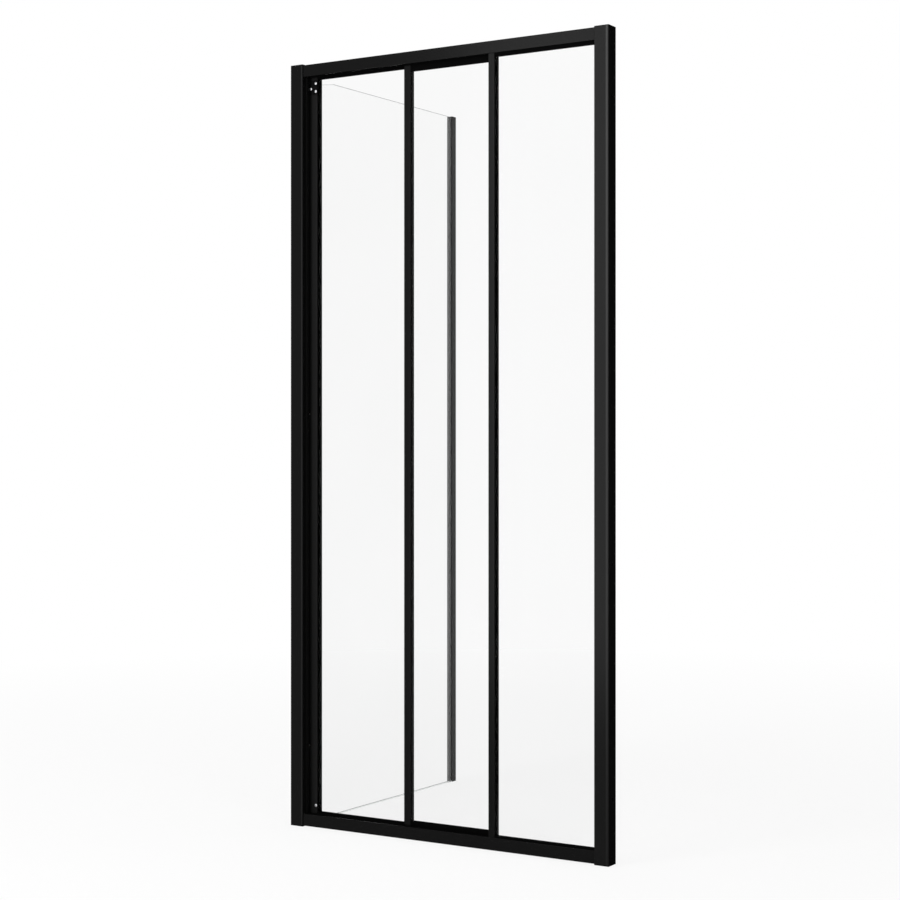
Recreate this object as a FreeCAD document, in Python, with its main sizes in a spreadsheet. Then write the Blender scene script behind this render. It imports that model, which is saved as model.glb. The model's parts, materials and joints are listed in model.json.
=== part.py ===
import FreeCAD, Part
import math
import os
import re
import Sketcher

# A framed shower door in three parts with a fixed side panel behind its corner post.
# Millimetres. +X runs along the door from the corner post to the wall post, +Y runs into the shower,
# +Z is up. The origin is the centre of the footprint on the floor.

# Driving sizes: alias, value, what it is.
SIZES = (
    ("height", 1900, "corner post and wall post, floor to top of cap"),
    ("width", 890, "door, outer face of corner post to wall"),
    ("depth", 750, "front of the posts to the wall behind the side panel"),
    ("corner_post_width", 36.7, "corner post along the door"),
    ("wall_post_width", 36.8, "wall post along the door"),
    ("post_depth", 37, "both posts, front to back"),
    ("post_wall", 2, "wall of the post extrusions"),
    ("post_round", 1.2, "rounding of the outer post edges"),
    ("cap_thickness", 1.5, "post caps"),
    ("plug_length", 8, "plug of a cap in its post"),
    ("plug_gap", 0.3, "room around a plug or an end block"),
    ("wall_channel_depth", 18, "flanges of the channel on the wall"),
    ("wall_channel_slack", 0.5, "room between channel and wall post"),
    ("wall_hole", 6.5, "diameter of the wall holes behind the wall post"),
    ("wall_hole_low", 150, "lowest wall hole above the floor"),
    ("wall_hole_top", 160, "highest wall hole below the top of the post"),
    ("rail_inset", 2, "rails below the post tops and above the floor"),
    ("rail_setback", 2.5, "rails behind the post fronts"),
    ("flange", 1.8, "front and back wall of the rails"),
    ("fin", 1.4, "wall between two tracks"),
    ("channel", 9.2, "clear width of one track"),
    ("rail_round", 0.8, "rounding of the outer rail edges"),
    ("head_height", 29, "front face of the head rail"),
    ("head_plate", 2.5, "top wall of the head rail"),
    ("lip_rise", 9, "running lip above the lower edge of the head rail"),
    ("lip_width", 3.6, "running lip, out from its fin"),
    ("lip_thickness", 2, "running lip"),
    ("sill_height", 29.8, "front face of the sill rail"),
    ("sill_floor", 18, "track floor above the underside of the sill"),
    ("end_block_length", 30, "blocks in the rail ends"),
    ("leaf_clearance", 0.3, "leaf to track wall, each side"),
    ("leaf_top_gap", 3, "leaf below the running lip"),
    ("leaf_low_gap", 4, "leaf above the track floor"),
    ("leaf_round", 0.7, "rounding of the outer stile edges"),
    ("leaf_glass", 4, "door glass"),
    ("gasket", 1, "glazing gaskets"),
    ("stile_grip", 10, "glazing groove of a stile"),
    ("rail_grip", 8, "glazing groove of a leaf rail"),
    ("post_grip", 12, "glazing groove of the wall post"),
    ("closing_gap", 4, "corner post to closing stile"),
    ("closing_face_width", 22.5, "raised face of the closing stile"),
    ("closing_stile_width", 31.5, "closing stile with its finger flange"),
    ("stile_width", 18.3, "other stiles of the sliding leaves"),
    ("fixed_stile_width", 16.5, "stile of the fixed pane"),
    ("lead_excess", 100.3, "three leading leaves side by side, beyond the opening"),
    ("follow_lack", 32.9, "three middle leaves side by side, short of the opening"),
    ("lead_stile_step", 1.1, "middle leaf beyond the trailing stile"),
    ("fixed_stile_step", 0.3, "fixed stile beyond the middle leaf's stile"),
    ("lead_top_show", 6, "top rail of the leading leaf below the head rail"),
    ("lead_low_show", 5, "bottom rail of the leading leaf above the sill"),
    ("follow_top_show", 16.5, "top rail of the middle leaf below the head rail"),
    ("follow_low_show", 13.2, "bottom rail of the middle leaf above the sill"),
    ("fixed_top_show", 9, "top bead of the fixed pane below the head rail"),
    ("fixed_low_show", 5.9, "bottom bead of the fixed pane above the sill"),
    ("strike_front", 11.3, "strike profile behind the post front"),
    ("strike_lip_depth", 8.5, "lip of the strike profile, front to back"),
    ("strike_lip_width", 6.2, "lip of the strike profile, out from the post"),
    ("strike_base", 3.2, "flat of the strike profile"),
    ("strike_screw_low", 200, "lowest strike screw above the floor"),
    ("strike_screw_top", 12, "highest strike screw below the head rail"),
    ("magnet_width", 4, "magnetic strips"),
    ("magnet_bed", 2.5, "groove of the strike magnet"),
    ("seal_bed", 5, "groove of the closing seal"),
    ("seal_stand", 0.5, "closing seal out of its groove"),
    ("brush_width", 4, "brush seals"),
    ("brush_inset", 1, "brush seal from the stile edge"),
    ("running_gap", 0.5, "brush seals and catches to what they pass"),
    ("brush_end", 40, "brush seals from the bottom of the leaf"),
    ("catch_drop", 29, "underside of the catches below the head rail"),
    ("catch_height", 18, "pick-up block and catches"),
    ("pick_up_inset", 5, "pick-up block from the trailing stile's edge"),
    ("pick_up_width", 8, "pick-up block"),
    ("catch_width", 4, "far catch on the middle leaf"),
    ("hanger_inset", 45, "roller centres from the leaf ends"),
    ("hanger_width", 28, "roller hangers"),
    ("hanger_plate", 2, "plate and foot of a hanger"),
    ("hanger_front", 1, "hanger plate behind the track front"),
    ("hanger_foot", 7, "foot of a hanger, front to back"),
    ("hanger_rise", 5, "hanger plate above the axle centre"),
    ("roller_radius", 7, "rollers"),
    ("roller_width", 3, "rollers"),
    ("roller_gap", 0.3, "roller to lip and to fin"),
    ("axle_radius", 2.5, "roller axles"),
    ("axle_fit", 0.05, "radial fit of pins, screws and rollers"),
    ("collar_radius", 4, "collar between hanger and roller"),
    ("collar_gap", 0.2, "collar to roller"),
    ("glide_length", 30, "bottom glides"),
    ("glide_gap", 0.4, "glide above the track floor"),
    ("screw_radius", 2, "shank of the frame screws"),
    ("screw_head", 3.5, "radius of their heads"),
    ("screw_head_height", 1.8, "height of their heads"),
    ("screw_bite", 15, "frame screw in its end block"),
    ("small_screw", 1.5, "shank radius of the small screws"),
    ("small_head", 2.6, "head radius of the flush small screws"),
    ("small_head_height", 1.2, "head of the flush small screws"),
    ("foot_screw_pitch", 18, "two screws in a hanger foot"),
    ("foot_screw_line", 3, "foot screws behind the hanger plate"),
    ("plate_thickness", 1.2, "corner plate on the closing stile"),
    ("plate_margin", 0.2, "corner plate from the edges of the raised face"),
    ("plate_top", 7, "corner plate below the head rail"),
    ("plate_height", 36, "corner plate"),
    ("plate_screw_head", 3.8, "radius of the bright screw heads"),
    ("plate_screw_rise", 1.8, "height of the bright screw heads"),
    ("plate_screw_inset", 4, "bright screws from the edges of the raised face"),
    ("plate_screw_high", 15, "upper bright screws below the head rail"),
    ("plate_screw_mid", 28, "middle bright screw below the head rail"),
    ("plate_screw_lower", 35, "lower bright screw below the head rail"),
    ("low_screw", 19, "single bright screw above the sill"),
    ("bumper_gap", 0.5, "open leaf to its bumper"),
    ("bumper_low", 1, "bumper above the lower edge of the head rail"),
    ("side_height", 1878, "side wall profile"),
    ("side_glass_thickness", 5, "side glass"),
    ("side_glass_low", 3, "side glass above the floor"),
    ("side_glass_drop", 1, "side glass below the top of its wall profile"),
    ("side_grip", 14, "groove of the corner post for the side glass"),
    ("side_profile_depth", 20, "side wall profile, front to back"),
    ("side_profile_wall", 1.5, "wall of the side wall profile"),
    ("side_chamber", 9.5, "hollow chamber of the side wall profile beside its groove, with one wall"),
    ("side_edge_gap", 2.5, "side glass edge to the web of its profile"),
    ("side_cap", 1.2, "cap of the side wall profile"),
    ("side_hole", 5, "diameter of the wall holes in the side wall profile"),
    ("side_hole_top", 138, "highest of these holes below the top of the profile"),
    ("relief_run", 134, "sloped relief of the side glass, along the glass"),
    ("relief_drop", 24.4, "sloped relief of the side glass, downwards"),
)

# Places worked out from the driving sizes: alias and formula.
PLACES = (
    ("left", "-width / 2"),
    ("right", "width / 2"),
    ("front", "-depth / 2"),
    ("back", "depth / 2"),
    ("corner_inner", "left + corner_post_width"),
    ("wall_inner", "right - wall_post_width"),
    ("opening", "wall_inner - corner_inner"),
    ("lead_width", "(opening + lead_excess) / 3"),
    ("follow_width", "(opening - follow_lack) / 3"),
    ("wall_hole_pitch", "(height - wall_hole_top - wall_hole_low) / 3"),
    ("side_hole_pitch", "(side_height - side_hole_top - wall_hole_low) / 3"),
    ("post_back", "front + post_depth"),
    ("post_top", "height - cap_thickness"),
    ("rail_front", "front + rail_setback"),
    ("track_step", "channel + fin"),
    ("fixed_track", "rail_front + flange"),
    ("follow_track", "fixed_track + track_step"),
    ("lead_track", "follow_track + track_step"),
    ("rail_back", "lead_track + channel + flange"),
    ("head_top", "height - rail_inset"),
    ("head_low", "head_top - head_height"),
    ("head_roof", "head_top - head_plate"),
    ("lip_low", "head_low + lip_rise"),
    ("lip_top", "lip_low + lip_thickness"),
    ("sill_low", "rail_inset"),
    ("sill_bed", "sill_low + sill_floor"),
    ("sill_top", "sill_low + sill_height"),
    ("stile_depth", "channel - 2 * leaf_clearance"),
    ("leaf_top", "lip_low - leaf_top_gap"),
    ("leaf_low", "sill_bed + leaf_low_gap"),
    ("glass_slot", "leaf_glass + 2 * gasket"),
    ("slot_wall", "(stile_depth - glass_slot) / 2"),
    ("fixed_front", "fixed_track + leaf_clearance"),
    ("follow_front", "follow_track + leaf_clearance"),
    ("lead_front", "lead_track + leaf_clearance"),
    ("fixed_back", "fixed_front + stile_depth"),
    ("follow_back", "follow_front + stile_depth"),
    ("lead_back", "lead_front + stile_depth"),
    ("lead_left", "corner_inner + closing_gap"),
    ("lead_right", "lead_left + lead_width"),
    ("closing_face", "lead_left + closing_face_width"),
    ("trailing_left", "lead_right - stile_width"),
    ("follow_left", "trailing_left + lead_stile_step"),
    ("follow_right", "follow_left + follow_width"),
    ("follow_inner_left", "follow_left + stile_width"),
    ("follow_inner_right", "follow_right - stile_width"),
    ("fixed_left", "follow_inner_right + fixed_stile_step"),
    ("fixed_inner", "fixed_left + fixed_stile_width"),
    ("follow_travel", "fixed_left - follow_left"),
    ("lead_travel", "2 * follow_travel"),
    ("lead_top_edge", "head_low - lead_top_show"),
    ("lead_low_edge", "sill_top + lead_low_show"),
    ("follow_top_edge", "head_low - follow_top_show"),
    ("follow_low_edge", "sill_top + follow_low_show"),
    ("fixed_top_edge", "head_low - fixed_top_show"),
    ("fixed_low_edge", "sill_top + fixed_low_show"),
    ("wall_slot_end", "wall_inner + post_grip"),
    ("wall_cavity", "wall_slot_end + post_wall"),
    ("fixed_middle", "fixed_front + stile_depth / 2"),
    ("head_block_low", "lip_low + plug_gap"),
    ("head_block_top", "head_roof - plug_gap"),
    ("head_screw_level", "(head_block_low + head_block_top) / 2"),
    ("sill_block_low", "sill_low + flange + plug_gap"),
    ("sill_block_top", "sill_bed - flange - plug_gap"),
    ("sill_screw_level", "(sill_block_low + sill_block_top) / 2"),
    ("strike_start", "front + strike_front"),
    ("magnet_front", "lead_front + (stile_depth - magnet_width) / 2"),
    ("magnet_back", "magnet_front + magnet_width"),
    ("strike_screw_line", "(strike_start + strike_lip_depth + magnet_front) / 2"),
    ("strike_screw_pitch", "(head_low - strike_screw_top - strike_screw_low) / 2"),
    ("roller_level", "lip_top + roller_gap + roller_radius"),
    ("foot_bite", "leaf_top - lead_top_edge - rail_grip"),
    ("catch_low", "head_low - catch_drop"),
    ("pick_up_left", "trailing_left + pick_up_inset"),
    ("pick_up_right", "pick_up_left + pick_up_width"),
    ("side_middle", "left + corner_post_width / 2"),
    ("side_slot", "side_glass_thickness + 2 * gasket"),
    ("side_slot_left", "side_middle - side_slot / 2"),
    ("side_slot_right", "side_middle + side_slot / 2"),
    ("side_slot_bed", "post_back - side_grip"),
    ("side_profile_front", "back - side_profile_depth"),
    ("side_glass_front", "side_slot_bed + gasket"),
    ("side_glass_back", "back - side_profile_wall - side_edge_gap"),
    ("side_glass_top", "side_height - side_glass_drop"),
    ("relief_end", "side_glass_front + relief_run"),
    ("relief_level", "side_glass_top - relief_drop"),
    ("channel_front", "front + post_wall + wall_channel_slack"),
    ("channel_back", "post_back - post_wall - wall_channel_slack"),
    ("channel_tip", "right - wall_channel_depth"),
    ("adjust_line", "right - wall_channel_depth / 2"),
)

WALL_HOLES = 4
STRIKE_SCREWS = 3
SAME_PLACE = 1e-6

doc = FreeCAD.newDocument("ShowerDoor")
sheet = doc.addObject("Spreadsheet::Sheet", "Sizes")
sub_parts = []


def fill_sheet():
    row = 0
    for alias, value, note in SIZES:
        row += 1
        sheet.set("A%d" % row, alias)
        sheet.set("B%d" % row, str(value))
        sheet.set("C%d" % row, note)
        sheet.setAlias("B%d" % row, alias)
    for alias, formula in PLACES:
        row += 1
        sheet.set("A%d" % row, alias)
        sheet.set("B%d" % row, "=" + formula)
        sheet.setAlias("B%d" % row, alias)
    doc.recompute()


# Binding to the sheet

def bind(target, name, formula):
    target.setExpression(name, re.sub(r"[a-z_]{2,}", r"Sizes.\g<0>", formula))


def place(target, x, y, z):
    for axis, formula in zip("xyz", (x, y, z)):
        bind(target, "Placement.Base." + axis, formula)


def sub_part(target, label):
    target.Label = label
    sub_parts.append(target)
    return target


# Shapes with bound sizes

def rectangle(low_a, low_b, high_a, high_b):
    return [(low_a, low_b), (high_a, low_b), (high_a, high_b), (low_a, high_b)]


def add_loop(sketch, corners):
    first = sketch.GeometryCount
    count = len(corners)
    turn = 2 * math.pi / count
    start = [FreeCAD.Vector(math.cos(turn * k), math.sin(turn * k), 0) for k in range(count)]
    for k in range(count):
        sketch.addGeometry(Part.LineSegment(start[k], start[(k + 1) % count]), False)
    for k in range(count):
        sketch.addConstraint(Sketcher.Constraint("Coincident", first + k, 2, first + (k + 1) % count, 1))
    for k, formulas in enumerate(corners):
        for kind, formula, value in zip(("DistanceX", "DistanceY"), formulas, start[k]):
            number = sketch.addConstraint(Sketcher.Constraint(kind, first + k, 1, value))
            bind(sketch, "Constraints[%d]" % number, formula)


def outer_edges(shape, along):
    bounds = shape.BoundBox
    limits = {
        "x": (bounds.XMin, bounds.XMax),
        "y": (bounds.YMin, bounds.YMax),
        "z": (bounds.ZMin, bounds.ZMax),
    }
    across = [axis for axis in "xyz" if axis != along]
    names = []
    for number, edge in enumerate(shape.Edges, 1):
        ends = [vertex.Point for vertex in edge.Vertexes]
        start, end = [[getattr(point, axis) for axis in across] for point in (ends[0], ends[-1])]
        level = all(abs(a - b) < SAME_PLACE for a, b in zip(start, end))
        corner = all(min(abs(value - limit) for limit in limits[axis]) < SAME_PLACE
                     for axis, value in zip(across, start))
        if level and corner:
            names.append("Edge%d" % number)
    return names


# An extruded profile: sketch loops on the plane across its run, from start to end, edges rounded if asked.
def extrusion(name, along, loops, start, end, rounding=None):
    role = {"z": "XY_Plane", "x": "YZ_Plane"}[along]
    body = doc.addObject("PartDesign::Body", name)
    plane = [feature for feature in body.Origin.OriginFeatures if feature.Role == role][0]
    sketch = body.newObject("Sketcher::SketchObject", name + "_profile")
    sketch.AttachmentSupport = (plane, [""])
    sketch.MapMode = "FlatFace"
    for corners in loops:
        add_loop(sketch, corners)
    pad = body.newObject("PartDesign::Pad", name + "_pad")
    pad.Profile = sketch
    bind(pad, "Length", "%s - (%s)" % (end, start))
    bind(body, "Placement.Base." + along, start)
    if rounding:
        doc.recompute()
        fillet = body.newObject("PartDesign::Fillet", name + "_rounding")
        fillet.Base = (pad, outer_edges(pad.Shape, along))
        bind(fillet, "Radius", rounding)
    return body


def box(low, high):
    block = doc.addObject("Part::Box", "Block")
    for name, low_end, high_end in zip(("Length", "Width", "Height"), low, high):
        bind(block, name, "%s - (%s)" % (high_end, low_end))
    place(block, *low)
    return block


def cylinder(along, centre, radius, length):
    rod = doc.addObject("Part::Cylinder", "Rod")
    turn = {
        "x": FreeCAD.Rotation(FreeCAD.Vector(0, 1, 0), 90),
        "y": FreeCAD.Rotation(FreeCAD.Vector(1, 0, 0), -90),
        "z": FreeCAD.Rotation(),
    }[along]
    rod.Placement = FreeCAD.Placement(FreeCAD.Vector(), turn)
    bind(rod, "Radius", radius)
    bind(rod, "Height", length)
    place(rod, *centre)
    return rod


def cut(base, tools):
    for tool in tools:
        result = doc.addObject("Part::Cut", "Cut")
        result.Base = base
        result.Tool = tool
        base = result
    return base


def fuse(pieces):
    result = doc.addObject("Part::MultiFuse", "Fuse")
    result.Shapes = pieces
    return result


def group(pieces):
    result = doc.addObject("Part::Compound", "Group")
    result.Links = pieces
    return result


# A profile parted into its straight walls, so that the room between them stays open for what goes there.
def walls(profile, cells):
    pieces = []
    for low, high in cells:
        piece = doc.addObject("Part::Common", "Wall")
        piece.Base = profile
        piece.Tool = box(low, high)
        pieces.append(piece)
    return group(pieces)


def upright_cells(rows, low, high):
    return [((x_low, y_low, low), (x_high, y_high, high)) for x_low, y_low, x_high, y_high in rows]


def rail_cells(rows):
    return [(("corner_inner", y_low, z_low), ("wall_inner", y_high, z_high))
            for y_low, z_low, y_high, z_high in rows]


def shifted(formula, step, number):
    return "%s + %d * %s" % (formula, number, step)


# Posts and what is fixed to the walls

def frame_screw_places():
    levels = ("head_screw_level", "sill_screw_level")
    return [(side, level) for side in ("corner", "wall") for level in levels]


def frame_screw_hole(side, level, start, length):
    return cylinder("x", (start, "fixed_middle", level), "screw_radius + axle_fit", length)


def make_corner_post():
    outline = rectangle("left", "front", "corner_inner", "post_back")
    outline[3:3] = [
        ("side_slot_right", "post_back"),
        ("side_slot_right", "side_slot_bed"),
        ("side_slot_left", "side_slot_bed"),
        ("side_slot_left", "post_back"),
    ]
    hollow = rectangle("left + post_wall", "front + post_wall",
                       "corner_inner - post_wall", "post_back - post_wall")
    hollow[3:3] = [
        ("side_slot_right + post_wall", "post_back - post_wall"),
        ("side_slot_right + post_wall", "side_slot_bed - post_wall"),
        ("side_slot_left - post_wall", "side_slot_bed - post_wall"),
        ("side_slot_left - post_wall", "post_back - post_wall"),
    ]
    post = extrusion("CornerPost", "z", [outline, hollow], "0", "post_top", "post_round")
    holes = [frame_screw_hole(side, level, "corner_inner - 2 * post_wall", "3 * post_wall")
             for side, level in frame_screw_places() if side == "corner"]
    holes += [cylinder("x", ("corner_inner - 2 * post_wall", "strike_screw_line", level),
                       "small_screw + axle_fit", "3 * post_wall") for level in strike_screw_levels()]
    back_inner = "post_back - post_wall"
    front_inner = "front + post_wall"
    bed_front = "side_slot_bed - post_wall"
    cells = upright_cells([
        ("left", "front", "corner_inner", front_inner),
        ("left", front_inner, "left + post_wall", "post_back"),
        ("corner_inner - post_wall", front_inner, "corner_inner", "post_back"),
        ("left + post_wall", back_inner, "side_slot_left - post_wall", "post_back"),
        ("side_slot_right + post_wall", back_inner, "corner_inner - post_wall", "post_back"),
        ("side_slot_left - post_wall", bed_front, "side_slot_left", "post_back"),
        ("side_slot_right", bed_front, "side_slot_right + post_wall", "post_back"),
        ("side_slot_left", bed_front, "side_slot_right", "side_slot_bed"),
    ], "0", "post_top")
    sub_part(walls(cut(post, holes), cells), "corner_post")

    plate = extrusion("CornerCap", "z", [rectangle("left", "front", "corner_inner", "post_back")],
                      "post_top", "height", "post_round")
    plug = box(("left + post_wall + plug_gap", "front + post_wall + plug_gap", "post_top - plug_length"),
               ("corner_inner - post_wall - plug_gap", "side_slot_bed - post_wall - plug_gap", "post_top"))
    sub_part(fuse([plate, plug]), "corner_post_cap")


def adjusting_screw_levels():
    first = "wall_hole_low + wall_hole_pitch / 2"
    return [shifted(first, "wall_hole_pitch", k) for k in range(WALL_HOLES - 1)]


def wall_hole_levels(pitch):
    return [shifted("wall_hole_low", pitch, k) for k in range(WALL_HOLES)]


def make_wall_post():
    slot_front = "fixed_front + slot_wall"
    slot_back = "fixed_back - slot_wall"
    outline = [
        ("wall_inner", "front"),
        ("right", "front"),
        ("right", "front + post_wall"),
        ("wall_cavity", "front + post_wall"),
        ("wall_cavity", "post_back - post_wall"),
        ("right", "post_back - post_wall"),
        ("right", "post_back"),
        ("wall_inner", "post_back"),
        ("wall_inner", slot_back),
        ("wall_slot_end", slot_back),
        ("wall_slot_end", slot_front),
        ("wall_inner", slot_front),
    ]
    hollow = rectangle("wall_inner + post_wall", slot_back + " + post_wall", "wall_slot_end",
                       "post_back - post_wall")
    post = extrusion("WallPost", "z", [outline, hollow], "0", "post_top", "post_round")
    holes = [frame_screw_hole(side, level, "wall_slot_end - post_wall", "3 * post_wall")
             for side, level in frame_screw_places() if side == "wall"]
    holes += [cylinder("y", ("adjust_line", "post_back - 2 * post_wall", level),
                       "screw_radius + axle_fit", "3 * post_wall") for level in adjusting_screw_levels()]
    back_inner = "post_back - post_wall"
    chamber_front = slot_back + " + post_wall"
    cells = upright_cells([
        ("wall_inner", "front", "wall_cavity", slot_front),
        ("wall_slot_end", slot_front, "wall_cavity", slot_back),
        ("wall_inner", slot_back, "wall_cavity", chamber_front),
        ("wall_inner", chamber_front, "wall_inner + post_wall", back_inner),
        ("wall_slot_end", chamber_front, "wall_cavity", back_inner),
        ("wall_inner", back_inner, "right", "post_back"),
        ("wall_cavity", "front", "right", "front + post_wall"),
    ], "0", "post_top")
    sub_part(walls(cut(post, holes), cells), "wall_post")

    sub_part(extrusion("WallCap", "z", [rectangle("wall_inner", "front", "right", "post_back")],
                       "post_top", "height", "post_round"), "wall_post_cap")

    channel = [
        ("right", "channel_front"),
        ("right", "channel_back"),
        ("channel_tip", "channel_back"),
        ("channel_tip", "channel_back - post_wall"),
        ("right - post_wall", "channel_back - post_wall"),
        ("right - post_wall", "channel_front + post_wall"),
        ("channel_tip", "channel_front + post_wall"),
        ("channel_tip", "channel_front"),
    ]
    channel_body = extrusion("WallChannel", "z", [channel], "0", "post_top")
    middle = "(channel_front + channel_back) / 2"
    holes = [cylinder("x", ("right - 2 * post_wall", middle, level), "wall_hole / 2", "3 * post_wall")
             for level in wall_hole_levels("wall_hole_pitch")]
    holes += [cylinder("y", ("adjust_line", "channel_back - 2 * post_wall", level),
                       "screw_radius + axle_fit", "3 * post_wall") for level in adjusting_screw_levels()]
    web = "right - post_wall"
    cells = upright_cells([
        (web, "channel_front", "right", "channel_back"),
        ("channel_tip", "channel_front", web, "channel_front + post_wall"),
        ("channel_tip", "channel_back - post_wall", web, "channel_back"),
    ], "0", "post_top")
    sub_part(walls(cut(channel_body, holes), cells), "wall_channel")

    screws = []
    for level in adjusting_screw_levels():
        shank = cylinder("y", ("adjust_line", "channel_back - post_wall", level), "screw_radius",
                         "post_back - channel_back + post_wall")
        head = cylinder("y", ("adjust_line", "post_back", level), "screw_head", "screw_head_height")
        screws.append(fuse([shank, head]))
    sub_part(group(screws), "adjusting_screws")


# Head rail, sill rail and what joins them to the posts

def make_rails():
    head = [("rail_front", "head_low"), ("fixed_track", "head_low"), ("fixed_track", "head_roof")]
    for track, lipped in (("fixed_track", False), ("follow_track", True)):
        fin_front = track + " + channel"
        fin_back = track + " + track_step"
        if lipped:
            head += lip_corners(track)
        else:
            head += [(fin_front, "head_roof"), (fin_front, "head_low")]
        head += [(fin_back, "head_low"), (fin_back, "head_roof")]
    head += lip_corners("lead_track")
    head += [("rail_back", "head_low"), ("rail_back", "head_top"), ("rail_front", "head_top")]
    head_rail = extrusion("HeadRail", "x", [head], "corner_inner", "wall_inner", "rail_round")
    uprights = [("rail_front", "fixed_track")]
    uprights += [(track + " + channel", track + " + track_step") for track in ("fixed_track", "follow_track")]
    uprights.append(("lead_track + channel", "rail_back"))
    cells = [("rail_front", "head_roof", "rail_back", "head_top")]
    cells += [(low, "head_low", high, "head_roof") for low, high in uprights]
    cells += [(track + " + channel - lip_width", "lip_low", track + " + channel", "lip_top")
              for track in ("follow_track", "lead_track")]
    sub_part(walls(head_rail, rail_cells(cells)), "head_rail")

    sill = [("rail_back", "sill_low"), ("rail_front", "sill_low"), ("rail_front", "sill_top")]
    for track in ("fixed_track", "follow_track", "lead_track"):
        sill += [(track, "sill_top"), (track, "sill_bed")]
        sill += [(track + " + channel", "sill_bed"), (track + " + channel", "sill_top")]
    sill.append(("rail_back", "sill_top"))
    chamber_low = "sill_low + flange"
    chamber_top = "sill_bed - flange"
    chamber = rectangle("fixed_track", chamber_low, "rail_back - flange", chamber_top)
    sill_rail = extrusion("SillRail", "x", [sill, chamber], "corner_inner", "wall_inner", "rail_round")
    cells = [
        ("rail_front", "sill_low", "rail_back", chamber_low),
        ("rail_front", chamber_low, "fixed_track", chamber_top),
        ("rail_back - flange", chamber_low, "rail_back", chamber_top),
        ("rail_front", chamber_top, "rail_back", "sill_bed"),
    ]
    cells += [(low, "sill_bed", high, "sill_top") for low, high in uprights]
    sub_part(walls(sill_rail, rail_cells(cells)), "sill_rail")


def lip_corners(track):
    lip_edge = track + " + channel - lip_width"
    fin_front = track + " + channel"
    return [
        (fin_front, "head_roof"),
        (fin_front, "lip_top"),
        (lip_edge, "lip_top"),
        (lip_edge, "lip_low"),
        (fin_front, "lip_low"),
        (fin_front, "head_low"),
    ]


def make_rail_joints():
    blocks = []
    screws = []
    for side, level in frame_screw_places():
        if side == "corner":
            block_ends = ("corner_inner", "corner_inner + end_block_length")
            seat = "corner_inner - post_wall"
            shank_start = seat
            shank_length = "post_wall + screw_bite"
            head_start = seat + " - screw_head_height"
        else:
            block_ends = ("wall_inner - end_block_length", "wall_inner")
            seat = "wall_cavity"
            shank_start = "wall_inner - screw_bite"
            shank_length = seat + " - (" + shank_start + ")"
            head_start = seat
        if level == "head_screw_level":
            low = (block_ends[0], "fixed_track + plug_gap", "head_block_low")
            high = (block_ends[1], "fixed_track + channel - plug_gap", "head_block_top")
        else:
            low = (block_ends[0], "fixed_track + plug_gap", "sill_block_low")
            high = (block_ends[1], "rail_back - flange - plug_gap", "sill_block_top")
        hole = frame_screw_hole(side, level, block_ends[0], "end_block_length")
        blocks.append(cut(box(low, high), [hole]))
        shank = cylinder("x", (shank_start, "fixed_middle", level), "screw_radius", shank_length)
        head = cylinder("x", (head_start, "fixed_middle", level), "screw_head", "screw_head_height")
        screws.append(fuse([shank, head]))
    sub_part(group(blocks), "rail_end_blocks")
    sub_part(group(screws), "frame_screws")


# Strike side of the corner post

def strike_screw_levels():
    return [shifted("strike_screw_low", "strike_screw_pitch", k) for k in range(STRIKE_SCREWS)]


def make_strike():
    lip_edge = "corner_inner + strike_lip_width"
    lip_back = "strike_start + strike_lip_depth"
    flat = "corner_inner + strike_base"
    bed = flat + " - magnet_bed"
    profile = [
        ("corner_inner", "strike_start"),
        (lip_edge, "strike_start"),
        (lip_edge, lip_back),
        (flat, lip_back),
        (flat, "magnet_front"),
        (bed, "magnet_front"),
        (bed, "magnet_back"),
        (flat, "magnet_back"),
        (flat, "lead_back"),
        ("corner_inner", "lead_back"),
    ]
    strip = extrusion("StrikeProfile", "z", [profile], "sill_top", "head_low")
    holes = []
    screws = []
    for level in strike_screw_levels():
        shank_start = ("corner_inner - post_wall", "strike_screw_line", level)
        head_start = (flat + " - small_head_height", "strike_screw_line", level)
        shank_length = "post_wall + strike_base - small_head_height"
        holes.append(cylinder("x", shank_start, "small_screw + axle_fit", "post_wall + strike_base"))
        holes.append(cylinder("x", head_start, "small_head + axle_fit", "strike_base"))
        shank = cylinder("x", shank_start, "small_screw", shank_length)
        head = cylinder("x", head_start, "small_head", "small_head_height")
        screws.append(fuse([shank, head]))
    cells = upright_cells([
        ("corner_inner", "strike_start", lip_edge, lip_back),
        ("corner_inner", lip_back, flat, "lead_back"),
    ], "sill_top", "head_low")
    sub_part(walls(cut(strip, holes), cells), "strike_profile")
    sub_part(group(screws), "strike_screws")
    magnet = box((bed, "magnet_front", "sill_top"), (flat, "magnet_back", "head_low"))
    sub_part(magnet, "strike_magnet")


# Glazed leaves

def glass_box(track, x_ends, z_ends):
    glass_front = "%s_front + slot_wall + gasket" % track
    return box((x_ends[0], glass_front, z_ends[0]), (x_ends[1], glass_front + " + leaf_glass", z_ends[1]))


# A stile with a glazing groove in its left or right side.
def stile_loop(track, left_edge, right_edge, groove_side):
    front_edge = track + "_front"
    back_edge = track + "_back"
    slot_front = front_edge + " + slot_wall"
    slot_back = back_edge + " - slot_wall"
    if groove_side == "right":
        bed = right_edge + " - stile_grip"
        groove = [(right_edge, slot_front), (bed, slot_front), (bed, slot_back), (right_edge, slot_back)]
        return [(left_edge, front_edge), (right_edge, front_edge)] + groove + [
            (right_edge, back_edge), (left_edge, back_edge)]
    bed = left_edge + " + stile_grip"
    groove = [(left_edge, slot_back), (bed, slot_back), (bed, slot_front), (left_edge, slot_front)]
    return [(left_edge, front_edge), (right_edge, front_edge), (right_edge, back_edge),
            (left_edge, back_edge)] + groove


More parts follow.
